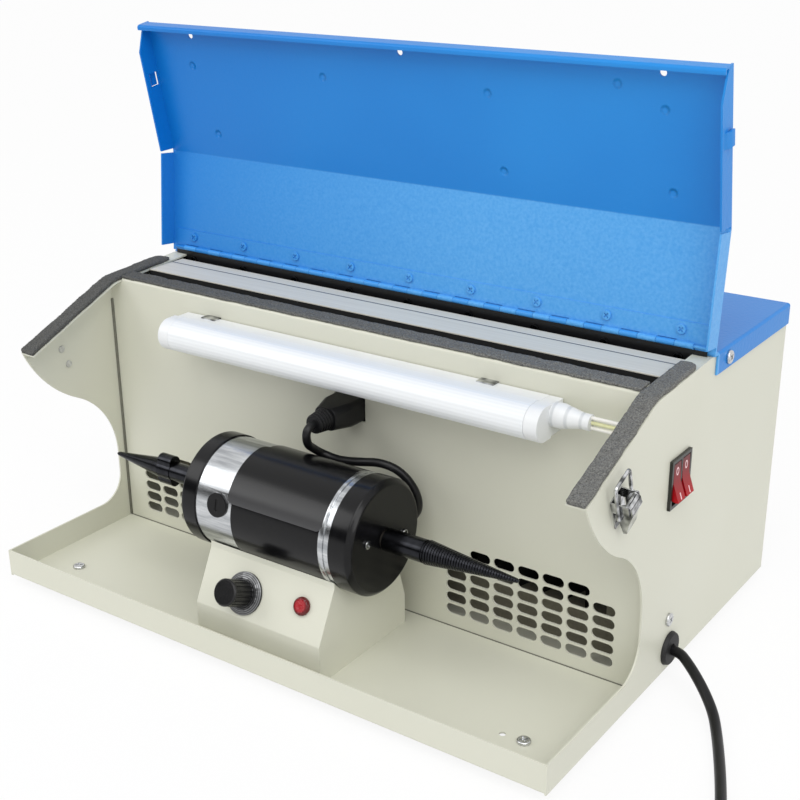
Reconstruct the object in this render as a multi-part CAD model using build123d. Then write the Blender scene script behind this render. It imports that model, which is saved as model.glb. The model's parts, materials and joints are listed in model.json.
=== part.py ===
from build123d import *
import os
from math import asin, atan2, cos, degrees, pi, radians, sin, sqrt, tan

# Bench polishing cabinet with dust collector, in millimetres, +Z up.
# The user stands at -Y and looks along +Y, with +X to the right.
# Places are given as x, a distance back from the tray's front face, and a height above its underside.

# Cabinet sheet metal
cabinet_width = 430.0
cabinet_depth = 308.0
sheet = 1.2
fold_radius = 0.8
fit_gap = 0.2
overrun = 6.0
lip_height = 19.4
spare_hole_radius = 2.0
spare_hole_side = 168.0

# Feet and screws
foot_height = 8.0
foot_radius = 10.0
foot_taper = 1.5
foot_side_inset = 33.0
foot_front_inset = 33.2
foot_recess = 3.0
screw_radius = 2.0
screw_head_radius = 4.2
screw_head_height = 2.0

# Side panel outline
side_height = 193.1
nose_back = 31.3
nose_drop = 36.6
bend_back = 110.5
bend_drop = 4.1
bend_radius = 25.0
cut_start_back = 88.0
cut_corner_radius = 20.6
cut_straight_top = 56.0
cut_turn_back = 75.5
cut_turn_height = 109.6
seal_flange_width = 12.5
seal_flange_end = 190.0
seal_flange_step = 0.1
side_screw_back = 147.5
side_screw_height = 36.0

# Foam seals
foam_thickness = 3.0
foam_gap = 0.8
foam_end_back = 166.0
foam_end_radius = 6.0
foam_inset = 0.3
strip_thickness = 1.8

# Inner panel and its suction slots
inner_back = 115.7
inner_flange = 13.0
slot_length = 15.0
slot_height = 6.9
slot_columns = 7
slot_rows = 6
slot_column_pitch = 17.4
slot_row_pitch = 8.6
first_slot_side = 83.0
first_slot_height = 14.2

# Filter cassette
filter_gap = 14.3
filter_depth = 34.0
filter_side_room = 27.0
filter_bar_height = 12.0
filter_top_drop = 1.9
filter_bar_clearance = 1.0
filter_border = 12.0
filter_low_border = 25.0
pleat_count = 22
medium_thickness = 1.0
medium_inset = 3.0

# Piano hinge
hinge_back = 182.0
hinge_rise = 5.3
barrel_radius = 1.9
knuckle_room = 0.3
leaf_thickness = 0.8
leaf_width = 13.5
hinge_end_gap = 2.0
pin_radius = 1.0
pin_clearance = 0.05
knuckle_pitch = 23.9
knuckle_offset = -5.3
leaf_screw_pitch = 48.6
leaf_screw_rise = 8.6
leaf_screw_radius = 1.5
leaf_screw_head_radius = 3.0
leaf_screw_head_height = 1.4
rail_height = 30.0
rail_flange = 18.0
rail_thickness = 1.5

# Hood
hood_lean = 5.4
hood_lower = 70.3
hood_upper = 93.5
hood_side_gap = 0.4
hood_lip_depth = 8.3
hood_lip_return = 2.2
hood_flange_depth = 12.8
hood_flange_root = 1.3
hood_fold_relief = 1.5
hood_chamfer_length = 17.0
hood_chamfer_depth = 4.0
hood_stop_gap = 0.2
hood_hole_radius = 2.2
hood_hole_inset = 38.4
hood_hole_drop = 6.5
catch_along = 55.0
catch_length = 9.4
catch_width = 8.0
catch_rise = 2.2
catch_depth = 9.0
catch_ramp_share = 0.35

# Rear top cover
cover_side_height = 13.8
cover_front_gap = 0.6
cover_side_setback = 4.4
cover_edge_radius = 2.0
cover_screw_back = 205.8

# Extractor fan
fan_size = 120.0
fan_depth = 38.0
fan_height = 100.0
fan_corner_radius = 8.0
fan_bore_radius = 56.0
fan_hub_radius = 22.0
fan_hub_depth = 16.0
fan_strut_width = 5.0
fan_strut_depth = 5.0
fan_blade_count = 7
fan_blade_thickness = 2.0
fan_blade_chord = 26.0
fan_blade_pitch = 38.0
fan_tip_gap = 1.5
fan_rotor_depth = 17.0
fan_rotor_gap = 1.0
fan_pin_radius = 3.0
fan_pin_length = 12.0
running_clearance = 0.05
vent_slot_pitch = 11.0
vent_slot_height = 6.0
vent_slots_each_way = 4
vent_margin = 3.0

# Double rocker switch on the right side
switch_back = 132.9
switch_bottom = 114.7
switch_width = 26.6
switch_height = 30.8
switch_bezel = 2.0
switch_body_depth = 18.0
switch_body_inset = 1.0
switch_wall = 1.6
switch_rim = 2.1
rocker_gap = 0.35
rocker_half_height = 11.7
rocker_face = 4.0
rocker_hollow = 1.8
rocker_depth = 6.0
rocker_pivot_depth = 3.0
rocker_pin_radius = 1.2
rocker_pin_length = 0.8
rocker_tilt = 10.0

# Toggle latches
latch_back = 67.2
latch_height = 143.5
latch_plate_rise = 10.0
latch_plate_drop = 10.0
latch_plate_thickness = 0.8
latch_rivet_spacing = 13.2
latch_rivet_radius = 1.6
latch_rivet_head = 1.0
latch_rivet_head_radius = 2.6
latch_ear_length = 7.0
latch_pivot_rise = 6.0
latch_pivot_out = 8.0
latch_pivot_radius = 1.3
latch_lever_width = 11.5
latch_lever_wall = 1.0
latch_lever_outline = [
    (-13.2, 4.4),
    (-9.0, 3.8),
    (-2.6, 2.6),
    (3.4, 2.6),
    (8.6, 6.4),
    (9.4, 9.0),
    (7.6, 11.6),
    (3.0, 12.2),
    (-5.0, 8.8),
    (-12.6, 6.6),
]
latch_hollow_outline = [
    (-7.0, 0.0),
    (10.5, 0.0),
    (10.5, 9.5),
    (7.4, 10.5),
    (3.0, 11.1),
    (-6.2, 7.2),
]
latch_bail_rise = -1.0
latch_bail_out = 4.6
latch_bail_top = 22.7
latch_bail_top_out = 5.9
latch_bail_width = 16.4
latch_wire_radius = 1.1
latch_bail_corner = 1.8

# Batten lamp on the inner panel
lamp_left_room = 77.5
lamp_right_room = 59.8
lamp_height_share = 0.868
lamp_height = 21.7
lamp_depth = 31.0
lamp_channel_depth = 13.0
lamp_channel_inset = 1.2
lamp_wall = 1.2
lamp_cap_length = 9.0
lamp_clip_thickness = 0.8
lamp_clip_width = 12.0
lamp_clip_hook = 6.0
lamp_clip_inset_left = 23.5
lamp_clip_inset_right = 49.5
connector_length = 24.0
connector_base_radius = 7.4
connector_end_radius = 4.8
connector_rise = 3.4
connector_setback = 11.7
connector_straight_share = 0.25
connector_taper_share = 0.5
lead_core_radius = 1.1
lead_core_pitch = 3.0
lead_core_count = 3
lead_turn_inset = 8.5

# Outlet and plug for the motor
plug_side = 0.4
plug_height_share = 0.7121
plug_width = 24.0
plug_thickness = 16.5
plug_corner = 3.3
plug_straight = 11.7
plug_length = 26.0
plug_neck_width = 16.4
plug_neck_height = 14.8
plug_neck_corner = 5.0
plug_relief_length = 12.0
plug_relief_radius = 7.0
plug_relief_tip_radius = 5.6
plug_insertion = 12.0
outlet_wall = 2.5
outlet_flange = 6.0
outlet_flange_thickness = 2.0
outlet_depth = 18.0
motor_cord_radius = 2.75
motor_cord_run_out = 7.0
motor_cord_run_in = 7.0
motor_cord_route = [
    (-0.2, 71.4, 126.6),
    (-2.4, 80.5, 119.8),
    (-1.0, 88.2, 113.6),
    (11.0, 90.8, 111.0),
    (27.9, 91.5, 113.9),
    (39.2, 93.0, 116.0),
    (49.4, 96.0, 113.8),
    (57.2, 99.0, 107.2),
    (62.2, 102.0, 96.6),
    (61.4, 105.5, 85.6),
    (55.0, 108.4, 76.0),
    (46.5, 110.0, 67.5),
    (38.5, 109.6, 59.0),
]

# Polishing motor
motor_back = 58.7
motor_height_share = 0.4454
motor_radius = 36.0
motor_wall = 2.5
sleeve_thickness = 0.6
cap_radius = 36.9
left_cap_face = -64.1
tube_left = -52.2
sleeve_left = -22.7
sleeve_right = 49.0
tube_right = 53.0
right_cap_face = 69.0
cap_wall = 3.0
left_cap_bevel = 1.0
right_cap_bevel = 3.0
bearing_radius = 11.0
bearing_width = 7.0
shaft_radius = 5.0
shaft_hole_clearance = 0.8
shaft_reach = 28.0
stator_length = 58.0
stator_bore = 21.0
air_gap = 0.6
armature_length = 54.0
commutator_radius = 11.0
commutator_length = 9.0
brush_side = -33.9
brush_cap_radius = 7.8
brush_cap_rise = 1.4
brush_stem_radius = 5.0
brush_slot_width = 2.0
brush_slot_depth = 0.8
brush_angle = 13.5
cap_screw_circle = 19.4
cap_screw_angle = 168.0
cap_screw_radius = 2.6
cap_screw_height = 1.4

# Spindles
spindle_gap = 1.5
left_hub_radius = 6.5
left_collar_step = 0.4
left_hub_end = -104.5
left_collar_end = -116.0
left_tip = -159.0
wing_span = 21.6
wing_width = 10.0
left_taper_radius = 6.8
right_collar_radius = 7.2
right_collar_end = 99.6
right_taper_radius = 7.6
right_tip = 161.4
groove_width = 1.4
groove_depth = 1.0
tip_radius = 1.4
spindle_edge = 1.0

# Pedestal and its controls
pedestal_left = -47.3
pedestal_right = 51.8
pedestal_front = 13.1
pedestal_rear = 102.5
pedestal_crease_share = 0.3128
pedestal_front_top_back = 29.6
pedestal_front_top_share = 0.6941
pedestal_rear_crease_share = 0.2558
pedestal_rear_top_back = 90.5
pedestal_rear_top_share = 0.7208
pedestal_wall = 2.0
pedestal_edge_radius = 2.5
saddle_gap = 0.2
knob_side = -11.9
knob_up_slope = 15.5
skirt_radius = 13.6
skirt_thickness = 3.0
skirt_edge = 1.2
grip_radius = 8.6
grip_length = 17.5
grip_flutes = 18
grip_flute_radius = 0.7
knob_gap = 0.3
control_shaft_radius = 3.0
control_shaft_length = 9.0
control_body_radius = 8.0
control_body_depth = 10.0
pilot_side = 32.7
pilot_up_slope = 20.4
pilot_radius = 5.8
pilot_rim = 1.0
pilot_rise = 3.0
pilot_dome_radius = 1.8
pilot_body_depth = 14.0
board_width = 60.0
board_depth = 44.0
board_thickness = 1.6
board_post_height = 6.0
board_post_radius = 3.0
gland_side = 33.0
gland_height_share = 0.5465
gland_radius = 6.0
gland_length = 4.0
gland_inside = 3.0
gland_taper = 8.0

# Mains cord, its grommet, coil, tie and plug
grommet_back = 150.8
grommet_height = 14.3
grommet_radius = 8.0
grommet_flange_radius = 11.0
grommet_flange = 3.0
grommet_inside = 5.0
cord_bend_share = 0.45
cord_end_bend_share = 0.9
mains_radius = 3.25
mains_lead_out = 4.0
mains_fall_route = [
    (231.0, 144.5, 12.6),
    (241.0, 137.2, 8.6),
    (250.0, 130.3, 3.4),
    (258.2, 122.2, -1.8),
]
mains_floor_route = [
    (265.6, 109.5),
    (272.9, 94.7),
    (280.5, 78.5),
    (287.6, 62.5),
    (295.5, 43.5),
]
coil_entry = (315.0, -2.0)
coil_direction = (0.389, -0.921)
coil_lead_in = 24.0
coil_half_turns = 6
coil_radius = 46.0
coil_gap = 0.6
coil_tail = 30.0
coil_section_sides = 6
coil_sample_count = 1500
tie_thickness = 1.0
tie_width = 9.0
tie_gap = 0.6
mains_plug_length = 34.0
mains_plug_width = 34.0
mains_plug_corner = 6.0
mains_plug_relief = 24.0
relief_wall = 1.6
plug_pin_radius = 2.4
plug_pin_length = 19.0
plug_pin_spacing = 19.0

# Sizes worked out from the driving ones
half_width = cabinet_width / 2
inner_half = half_width - sheet
cover_reach = fit_gap + sheet
overall_depth = cabinet_depth + cover_reach
motor_height = side_height * motor_height_share
pedestal_crease = motor_height * pedestal_crease_share
pedestal_front_top = motor_height * pedestal_front_top_share
pedestal_rear_crease = motor_height * pedestal_rear_crease_share
pedestal_rear_top = motor_height * pedestal_rear_top_share
gland_height = motor_height * gland_height_share
slope_back = pedestal_front_top_back - pedestal_front
slope_rise = pedestal_front_top - pedestal_crease
slope_length = sqrt(slope_back ** 2 + slope_rise ** 2)
slope_back_share = slope_back / slope_length
slope_up_share = slope_rise / slope_length
knob_face_out = knob_gap + skirt_thickness + grip_length
knob_low_along = knob_up_slope - grip_radius + spindle_edge
knob_reach = knob_face_out * slope_up_share - pedestal_front - knob_low_along * slope_back_share
front = (knob_reach - overall_depth) / 2
bend_height = side_height - bend_drop
nose_height = side_height - nose_drop
lamp_centre_height = side_height * lamp_height_share
plug_height = side_height * plug_height_share
filter_top_height = side_height - filter_top_drop
strip_lift = foam_thickness - strip_thickness
upper_slope = degrees(atan2(bend_height - nose_height, bend_back - nose_back))
lower_slope = degrees(atan2(bend_drop, hinge_back - bend_back))
leaf_back = barrel_radius + knuckle_room
hinge_height = side_height + hinge_rise
seal_height = bend_height + (foam_thickness + foam_gap) / cos(radians(lower_slope))
hinge_over_seal = hinge_height - seal_height
hinge_from_seal = sqrt((hinge_back - bend_back) ** 2 + hinge_over_seal ** 2)
closed_slope = degrees(atan2(hinge_over_seal, hinge_back - bend_back) + asin(leaf_back / hinge_from_seal))
hood_bend = upper_slope - closed_slope
cover_top = side_height + cover_reach
hood_half = half_width + hood_side_gap + sheet


def place(x, back, height):
    """A point of the cabinet in the part's own frame."""
    return Vector(x, front + back, foot_height + height)


def side_plane(x):
    """Plane seen from the right: first axis runs back, second up."""
    return Plane(origin=place(x, 0, 0), x_dir=(0, 1, 0), z_dir=(1, 0, 0))


def front_plane(back):
    """Plane seen from the front: first axis runs right, second up, and it faces the user."""
    return Plane(origin=place(0, back, 0), x_dir=(1, 0, 0), z_dir=(0, -1, 0))


def slab(x_range, back_range, height_range):
    """Box between two x values, two distances back and two heights."""
    low = place(x_range[0], back_range[0], height_range[0])
    high = place(x_range[1], back_range[1], height_range[1])
    size = high - low
    return Pos(*((low + high) / 2)) * Box(size.X, size.Y, size.Z)


def rod(start, end, radius):
    """Round bar between two points."""
    line = Vector(*end) - Vector(*start)
    plane = Plane(origin=start, z_dir=line)
    return plane * Cylinder(radius, line.length, align=(Align.CENTER, Align.CENTER, Align.MIN))


def moved_left(points, distance):
    """Points of an open line moved sideways, to the left of its direction, with mitred corners."""
    corners = [Vector(*point) for point in points]
    runs = [(b - a).normalized() for a, b in zip(corners, corners[1:])]
    normals = [Vector(-run.Y, run.X) for run in runs]
    before = [normals[0]] + normals
    after = normals + [normals[-1]]
    moved = []
    for corner, first, second in zip(corners, before, after):
        shift = (first + second) * (distance / (1 + first.dot(second)))
        moved.append((corner.X + shift.X, corner.Y + shift.Y))
    return moved


def strip(points, thickness):
    """Face of a sheet folded sharply along a line, with its thickness to the left of the line."""
    return make_face(Polyline(*points, *reversed(moved_left(points, thickness)), close=True))


def folded(points, thickness, inside_radius):
    """Face of a sheet folded along a line, with rounded folds and its thickness to the left."""
    other = moved_left(points, thickness)
    radii = []
    other_radii = []
    for a, b, c in zip(points, points[1:], points[2:]):
        turn = (b[0] - a[0]) * (c[1] - b[1]) - (b[1] - a[1]) * (c[0] - b[0])
        radii.append(inside_radius + (thickness if turn > 0 else 0))
        other_radii.append(inside_radius + (0 if turn > 0 else thickness))
    outline = FilletPolyline(*points, radius=radii) + FilletPolyline(*other, radius=other_radii)
    outline += Line(points[0], other[0])
    outline += Line(points[-1], other[-1])
    return make_face(outline.edges())


def across(face, half):
    """A side-view face carried from -half to +half along x."""
    return extrude(side_plane(-half) * face, amount=2 * half)


def turned(plane, points):
    """Solid turned about a plane's first axis, from points along it and their radii."""
    return revolve(plane * make_face(Polyline(*points, close=True)), axis=Axis(plane.origin, plane.x_dir))


def save(name, *solids):
    """Write one named piece, or a group of like pieces, to its file."""
    shape = solids[0] if len(solids) == 1 else Compound(children=list(solids))
    export_step(shape, os.path.join("parts", name + ".step"))


def edge_height(back):
    """Height of the side panel's upper edge at a distance back."""
    if back < bend_back:
        return nose_height + (back - nose_back) * tan(radians(upper_slope))
    return bend_height + (back - bend_back) * tan(radians(lower_slope))


os.makedirs("parts", exist_ok=True)

# Feet and the screws that hold them through the tray floor
foot_side = half_width - foot_side_inset
foot_backs = (foot_front_inset, cabinet_depth - foot_front_inset)
foot_places = [(x, back) for x in (-foot_side, foot_side) for back in foot_backs]
foot_profile = [
    (screw_radius, 0),
    (foot_radius, 0),
    (foot_radius - foot_taper, -foot_height),
    (screw_head_radius, -foot_height),
    (screw_head_radius, -foot_recess),
    (screw_radius, -foot_recess),
]
feet = []
foot_screws = []
for x, back in foot_places:
    foot_plane = Plane(origin=place(x, back, 0), x_dir=(0, 0, 1), z_dir=(0, 1, 0))
    feet.append(turned(foot_plane, [(along, radius) for radius, along in foot_profile]))
    shank = rod(place(x, back, -foot_recess), place(x, back, sheet), screw_radius)
    head = rod(place(x, back, sheet), place(x, back, sheet + screw_head_height), screw_head_radius)
    head = fillet(head.edges().sort_by(Axis.Z)[-1], screw_head_height / 2)
    foot_screws.append(shank + head)
save("rubber_feet", *feet)

# Base tray: floor and front lip folded from one sheet
tray_line = [(0, lip_height), (0, 0), (cabinet_depth - sheet, 0)]
base_tray = across(folded(tray_line, sheet, fold_radius), inner_half)
floor_holes = [
    rod(place(x, back, -overrun), place(x, back, overrun), screw_radius)
    for x, back in foot_places
]
spare_hole_low = place(spare_hole_side, foot_front_inset, -overrun)
spare_hole_high = place(spare_hole_side, foot_front_inset, overrun)
floor_holes.append(rod(spare_hole_low, spare_hole_high, spare_hole_radius))
base_tray -= floor_holes
save("base_tray", base_tray)

# Side panels: one blank each, with the swept hand opening and an inward flange for the foam
corner_end = (cut_start_back + cut_corner_radius, lip_height + cut_corner_radius)
straight_end = (corner_end[0], cut_straight_top)
turn_point = (cut_turn_back, cut_turn_height)
nose_point = (nose_back, nose_height)
bend_point = (bend_back, bend_height)
hollow_arc = TangentArc(straight_end, turn_point, tangent=(0, 1))
nose_arc = TangentArc(turn_point, nose_point, tangent=hollow_arc % 1)
side_outline = Polyline((0, 0), (0, lip_height), (cut_start_back, lip_height))
side_outline += TangentArc((cut_start_back, lip_height), corner_end, tangent=(1, 0))
side_outline += Line(corner_end, straight_end)
side_outline += hollow_arc
side_outline += nose_arc
upper_edge = [nose_point, bend_point, (hinge_back, side_height), (cabinet_depth, side_height)]
side_outline += FilletPolyline(*upper_edge, radius=bend_radius)
side_outline += Polyline((cabinet_depth, side_height), (cabinet_depth, 0), (0, 0))
side_face = make_face(side_outline.edges())
flange_points = [(seal_flange_end, side_height), (hinge_back, side_height), bend_point, nose_point]
flange_line = [(back, height - seal_flange_step) for back, height in flange_points]
flange_face = folded(flange_line, sheet, bend_radius - sheet)
side_panel = extrude(side_plane(inner_half) * side_face, amount=sheet)
flange_plane = side_plane(half_width - seal_flange_width)
side_panel += extrude(flange_plane * flange_face, amount=seal_flange_width - sheet)
side_screw_hole = rod(
    place(inner_half - overrun, side_screw_back, side_screw_height),
    place(half_width + overrun, side_screw_back, side_screw_height),
    screw_radius,
)
cover_screw_height = cover_top - cover_side_height / 2
cover_screw_hole = rod(
    place(inner_half - overrun, cover_screw_back, cover_screw_height),
    place(half_width + overrun, cover_screw_back, cover_screw_height),
    screw_radius,
)

# Latch frame: up along the latch, then along the slanted edge, then out from the panel
latch_up = Vector(0, -sin(radians(upper_slope)), cos(radians(upper_slope)))
latch_plane = Plane(origin=place(half_width, latch_back, latch_height), x_dir=latch_up, z_dir=(1, 0, 0))
rivet_ups = (-latch_rivet_spacing / 2, latch_rivet_spacing / 2)
rivet_holes = []
rivets = []
for up in rivet_ups:
    inner_end = latch_plane.from_local_coords((up, 0, -sheet))
    outer_end = latch_plane.from_local_coords((up, 0, latch_plate_thickness))
    inner_head_end = latch_plane.from_local_coords((up, 0, -sheet - latch_rivet_head))
    outer_head_end = latch_plane.from_local_coords((up, 0, latch_plate_thickness + latch_rivet_head))
    rivet_holes.append(rod(inner_head_end, outer_head_end, latch_rivet_radius))
    rivet = rod(inner_end, outer_end, latch_rivet_radius)
    rivet += rod(outer_end, outer_head_end, latch_rivet_head_radius)
    rivet += rod(inner_head_end, inner_end, latch_rivet_head_radius)
    rivets.append(rivet)
side_panel -= [cover_screw_hole, side_screw_hole, *rivet_holes]
save("left_side_panel", mirror(side_panel, about=Plane.YZ))

switch_body_width = switch_width - 2 * switch_body_inset
switch_body_height = switch_height - 2 * switch_body_inset
switch_middle_back = switch_back + switch_width / 2
switch_middle_height = switch_bottom + switch_height / 2
switch_cut = slab(
    (inner_half - overrun, half_width + overrun),
    (switch_middle_back - switch_body_width / 2, switch_middle_back + switch_body_width / 2),
    (switch_middle_height - switch_body_height / 2, switch_middle_height + switch_body_height / 2),
)
grommet_cut = rod(
    place(inner_half - overrun, grommet_back, grommet_height),
    place(half_width + overrun, grommet_back, grommet_height),
    grommet_radius,
)
save("right_side_panel", side_panel - [switch_cut, grommet_cut])

# Small screws on the cabinet: foot screws, rear cover screws and the plain side screws
cabinet_screws = list(foot_screws)
for back, height, seat in (
    (cover_screw_back, cover_screw_height, half_width + cover_reach),
    (side_screw_back, side_screw_height, half_width),
):
    shank = rod(place(inner_half, back, height), place(seat, back, height), screw_radius)
    head = rod(place(seat, back, height), place(seat + screw_head_height, back, height), screw_head_radius)
    head = fillet(head.edges().sort_by(Axis.X)[-1], screw_head_height / 2)
    side_screw = shank + head
    cabinet_screws += [side_screw, mirror(side_screw, about=Plane.YZ)]

# Inner panel: upright slotted sheet with a sloping top flange for the foam strip
inner_top = edge_height(inner_back) + strip_lift
inner_line = [
    (inner_back + inner_flange, edge_height(inner_back + inner_flange) + strip_lift),
    (inner_back, inner_top),
    (inner_back, sheet),
]
inner_panel = across(folded(inner_line, sheet, fold_radius), inner_half)
notch_low = edge_height(inner_back) - sheet / cos(radians(lower_slope)) - fit_gap
inner_flange_half = half_width - seal_flange_width - fit_gap
for side in (-1, 1):
    notch_range = sorted((side * inner_flange_half, side * half_width))
    notch_backs = (inner_back - overrun, inner_back + inner_flange + overrun)
    inner_panel -= slab(notch_range, notch_backs, (notch_low, side_height + overrun))
slot_places = []
for column in range(slot_columns):
    for row in range(slot_rows):
        is_end_column = column in (0, slot_columns - 1)
        if is_end_column and row == slot_rows - 1:
            continue
        x = first_slot_side + column * slot_column_pitch
        height = first_slot_height + row * slot_row_pitch
        slot_places += [(x, height), (-x, height)]
slot_shape = SlotOverall(slot_length, slot_height)
slot_sketch = Sketch() + [Pos(x, height) * slot_shape for x, height in slot_places]
inner_panel -= extrude(front_plane(inner_back - overrun) * slot_sketch, amount=-2 * overrun)
plug_room_half = plug_width / 2 + fit_gap
plug_room_rise = plug_thickness / 2 + fit_gap
inner_panel -= slab(
    (plug_side - plug_room_half, plug_side + plug_room_half),
    (inner_back - overrun, inner_back + overrun),
    (plug_height - plug_room_rise, plug_height + plug_room_rise),
)

# Rear panel with the fan's outlet slots
rear_face = cabinet_depth - sheet
rear_panel = slab((-inner_half, inner_half), (rear_face, cabinet_depth), (sheet, side_height))
vent_sketch = Sketch()
for row in range(-vent_slots_each_way, vent_slots_each_way + 1):
    rise = row * vent_slot_pitch
    reach = sqrt((fan_bore_radius - vent_margin) ** 2 - rise ** 2)
    vent_sketch += Pos(0, fan_height + rise) * SlotOverall(2 * reach, vent_slot_height)
rear_panel -= extrude(front_plane(rear_face - overrun) * vent_sketch, amount=-2 * overrun)
save("rear_panel", rear_panel)

# Rear top cover: shallow blue lid over the fan chamber
cover_half = half_width + cover_reach
cover_front = hinge_back + leaf_back + cover_front_gap
cover_low = cover_top - cover_side_height
cover_block = slab((-cover_half, cover_half), (cover_front, overall_depth), (cover_low, cover_top))
cover_top_edges = cover_block.faces().sort_by(Axis.Z)[-1].edges().sort_by(Axis.Y)[1:]
cover_corner_edges = cover_block.edges().filter_by(Axis.Z).sort_by(Axis.Y)[-2:]
cover_block = fillet(cover_top_edges + cover_corner_edges, cover_edge_radius)
cover_inside_half = half_width + fit_gap
cover_block -= slab(
    (-cover_inside_half, cover_inside_half),
    (cover_front - overrun, cabinet_depth + fit_gap),
    (cover_low - overrun, cover_top - sheet),
)
cover_block -= slab(
    (-cover_half - overrun, cover_half + overrun),
    (cover_front - overrun, cover_front + cover_side_setback),
    (cover_low - overrun, cover_top - sheet),
)
for side in (-1, 1):
    cover_block -= rod(
        place(side * (half_width - overrun), cover_screw_back, cover_screw_height),
        place(side * (cover_half + overrun), cover_screw_back, cover_screw_height),
        screw_radius,
    )
save("rear_top_cover", cover_block)

# Foam seals on the side flanges and on the inner panel's top flange
foam_line = [nose_point, bend_point, (foam_end_back, edge_height(foam_end_back))]
foam_face = folded(foam_line, foam_thickness, bend_radius)
foam_width = seal_flange_width - foam_inset
foam = extrude(side_plane(half_width - foam_width) * foam_face, amount=foam_width - foam_inset)
foam_end_edge = foam.faces().sort_by(Axis.Y)[-1].edges().sort_by(Axis.X)[-1]
foam = fillet(foam_end_edge, foam_end_radius)
save("foam_seal_right", foam)
save("foam_seal_left", mirror(foam, about=Plane.YZ))
strip_front = inner_back + foam_inset
strip_rear = inner_back + inner_flange
strip_line = [(back, edge_height(back) + strip_lift) for back in (strip_front, strip_rear)]
foam_strip_half = inner_flange_half - foam_inset
save("foam_seal_inner", across(strip(strip_line, strip_thickness), foam_strip_half))

# Filter cassette: aluminium frame with a wide top bar, and a pleated medium
filter_front = inner_back + inner_flange + filter_gap
filter_rear = filter_front + filter_depth
filter_half = half_width - filter_side_room
filter_frame_top = filter_top_height - filter_bar_height
filter_bar_half = half_width - seal_flange_width - filter_bar_clearance
window_half = filter_half - filter_border
window_low = sheet + filter_low_border
filter_frame = slab((-filter_half, filter_half), (filter_front, filter_rear), (sheet, filter_frame_top))
filter_frame += slab(
    (-filter_bar_half, filter_bar_half),
    (filter_front, filter_rear),
    (filter_frame_top, filter_top_height),
)
filter_frame -= slab(
    (-window_half, window_half),
    (filter_front - overrun, filter_rear + overrun),
    (window_low, filter_frame_top),
)
save("filter_frame", filter_frame)
pleat_pitch = 2 * (window_half - fit_gap) / pleat_count
pleat_near = front + filter_front + medium_inset
pleat_far = front + filter_rear - medium_inset
pleat_line = []
for fold in range(2 * pleat_count + 1):
    fold_x = -window_half + fit_gap + fold * pleat_pitch / 2
    pleat_line.append((fold_x, pleat_near if fold % 2 == 0 else pleat_far))
medium_face = Pos(0, 0, foot_height + window_low) * strip(pleat_line, medium_thickness)
medium = extrude(medium_face, amount=filter_frame_top - window_low)
medium_room = slab(
    (-window_half, window_half),
    (filter_front, filter_rear),
    (window_low, filter_frame_top),
)
save("filter_medium", medium & medium_room)

# Hinge rail: dark angle between the side panels that carries the fixed leaf
rail_front = hinge_back + leaf_back - leaf_thickness
rail_top = side_height - seal_flange_step - sheet
rail_line = [
    (rail_front + rail_flange, rail_top),
    (rail_front, rail_top),
    (rail_front, rail_top - rail_height),
]
hinge_rail = across(folded(rail_line, rail_thickness, fold_radius), inner_half)
leaf_screw_half = inner_flange_half - leaf_screw_head_radius
leaf_screw_count = int(leaf_screw_half / leaf_screw_pitch)
leaf_screw_places = [n * leaf_screw_pitch for n in range(-leaf_screw_count, leaf_screw_count + 1)]
fixed_screw_height = hinge_height - leaf_screw_rise
fixed_leaf_front = rail_front - leaf_thickness
fixed_screw_holes = []
for x in leaf_screw_places:
    start = place(x, fixed_leaf_front, fixed_screw_height)
    end = place(x, rail_front + rail_thickness, fixed_screw_height)
    head_end = place(x, fixed_leaf_front - leaf_screw_head_height, fixed_screw_height)
    fixed_screw_holes.append(rod(start, end, leaf_screw_radius))
    head = rod(start, head_end, leaf_screw_head_radius)
    cabinet_screws.append(rod(start, end, leaf_screw_radius) + head)
hinge_rail -= fixed_screw_holes
save("hinge_rail", hinge_rail)
save("cabinet_screws", *cabinet_screws)

# Piano hinge: interlocking knuckles on one pin
hinge_half = half_width - sheet - hinge_end_gap
knuckle_length = knuckle_pitch / 2 - knuckle_room
hinge_axis_point = place(0, hinge_back, hinge_height)


def knuckle_centres(shift):
    """Centres of one leaf's knuckles that fit whole on the hinge."""
    first = -int((hinge_half + knuckle_pitch) / knuckle_pitch)
    centres = []
    for n in range(first, -first + 1):
        centre = knuckle_offset + shift + n * knuckle_pitch
        if abs(centre) + knuckle_length / 2 <= hinge_half:
            centres.append(centre)
    return centres


fixed_knuckles = knuckle_centres(0)
moving_knuckles = knuckle_centres(knuckle_pitch / 2)


def barrel(x, radius, length):
    """Round bar along the hinge axis, centred on x."""
    start = place(x - length / 2, hinge_back, hinge_height)
    end = place(x + length / 2, hinge_back, hinge_height)
    return rod(start, end, radius)


notch_length = knuckle_length + 2 * knuckle_room
fixed_leaf = slab(
    (-hinge_half, hinge_half),
    (fixed_leaf_front, rail_front),
    (hinge_height - leaf_width, hinge_height - leaf_thickness),
)
for x in moving_knuckles:
    fixed_leaf -= slab(
        (x - notch_length / 2, x + notch_length / 2),
        (hinge_back - leaf_back, rail_front + overrun),
        (hinge_height - leaf_back, hinge_height + overrun),
    )
for side in (-1, 1):
    fixed_leaf -= slab(
        sorted((side * inner_flange_half, side * half_width)),
        (fixed_leaf_front - overrun, rail_front + overrun),
        (hinge_height - leaf_width - overrun, side_height + fit_gap),
    )
fixed_leaf += [barrel(x, barrel_radius, knuckle_length) for x in fixed_knuckles]
fixed_leaf -= [barrel(0, pin_radius, 2 * half_width), *fixed_screw_holes]
save("fixed_hinge_leaf", fixed_leaf)
save("hinge_pin", barrel(0, pin_radius, 2 * hinge_half))

# Hood frame at rest, open: first axis runs up the lower panel from the hinge, second faces the user
lean = radians(hood_lean)
hood_up = Vector(0, sin(lean), cos(lean))


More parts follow.
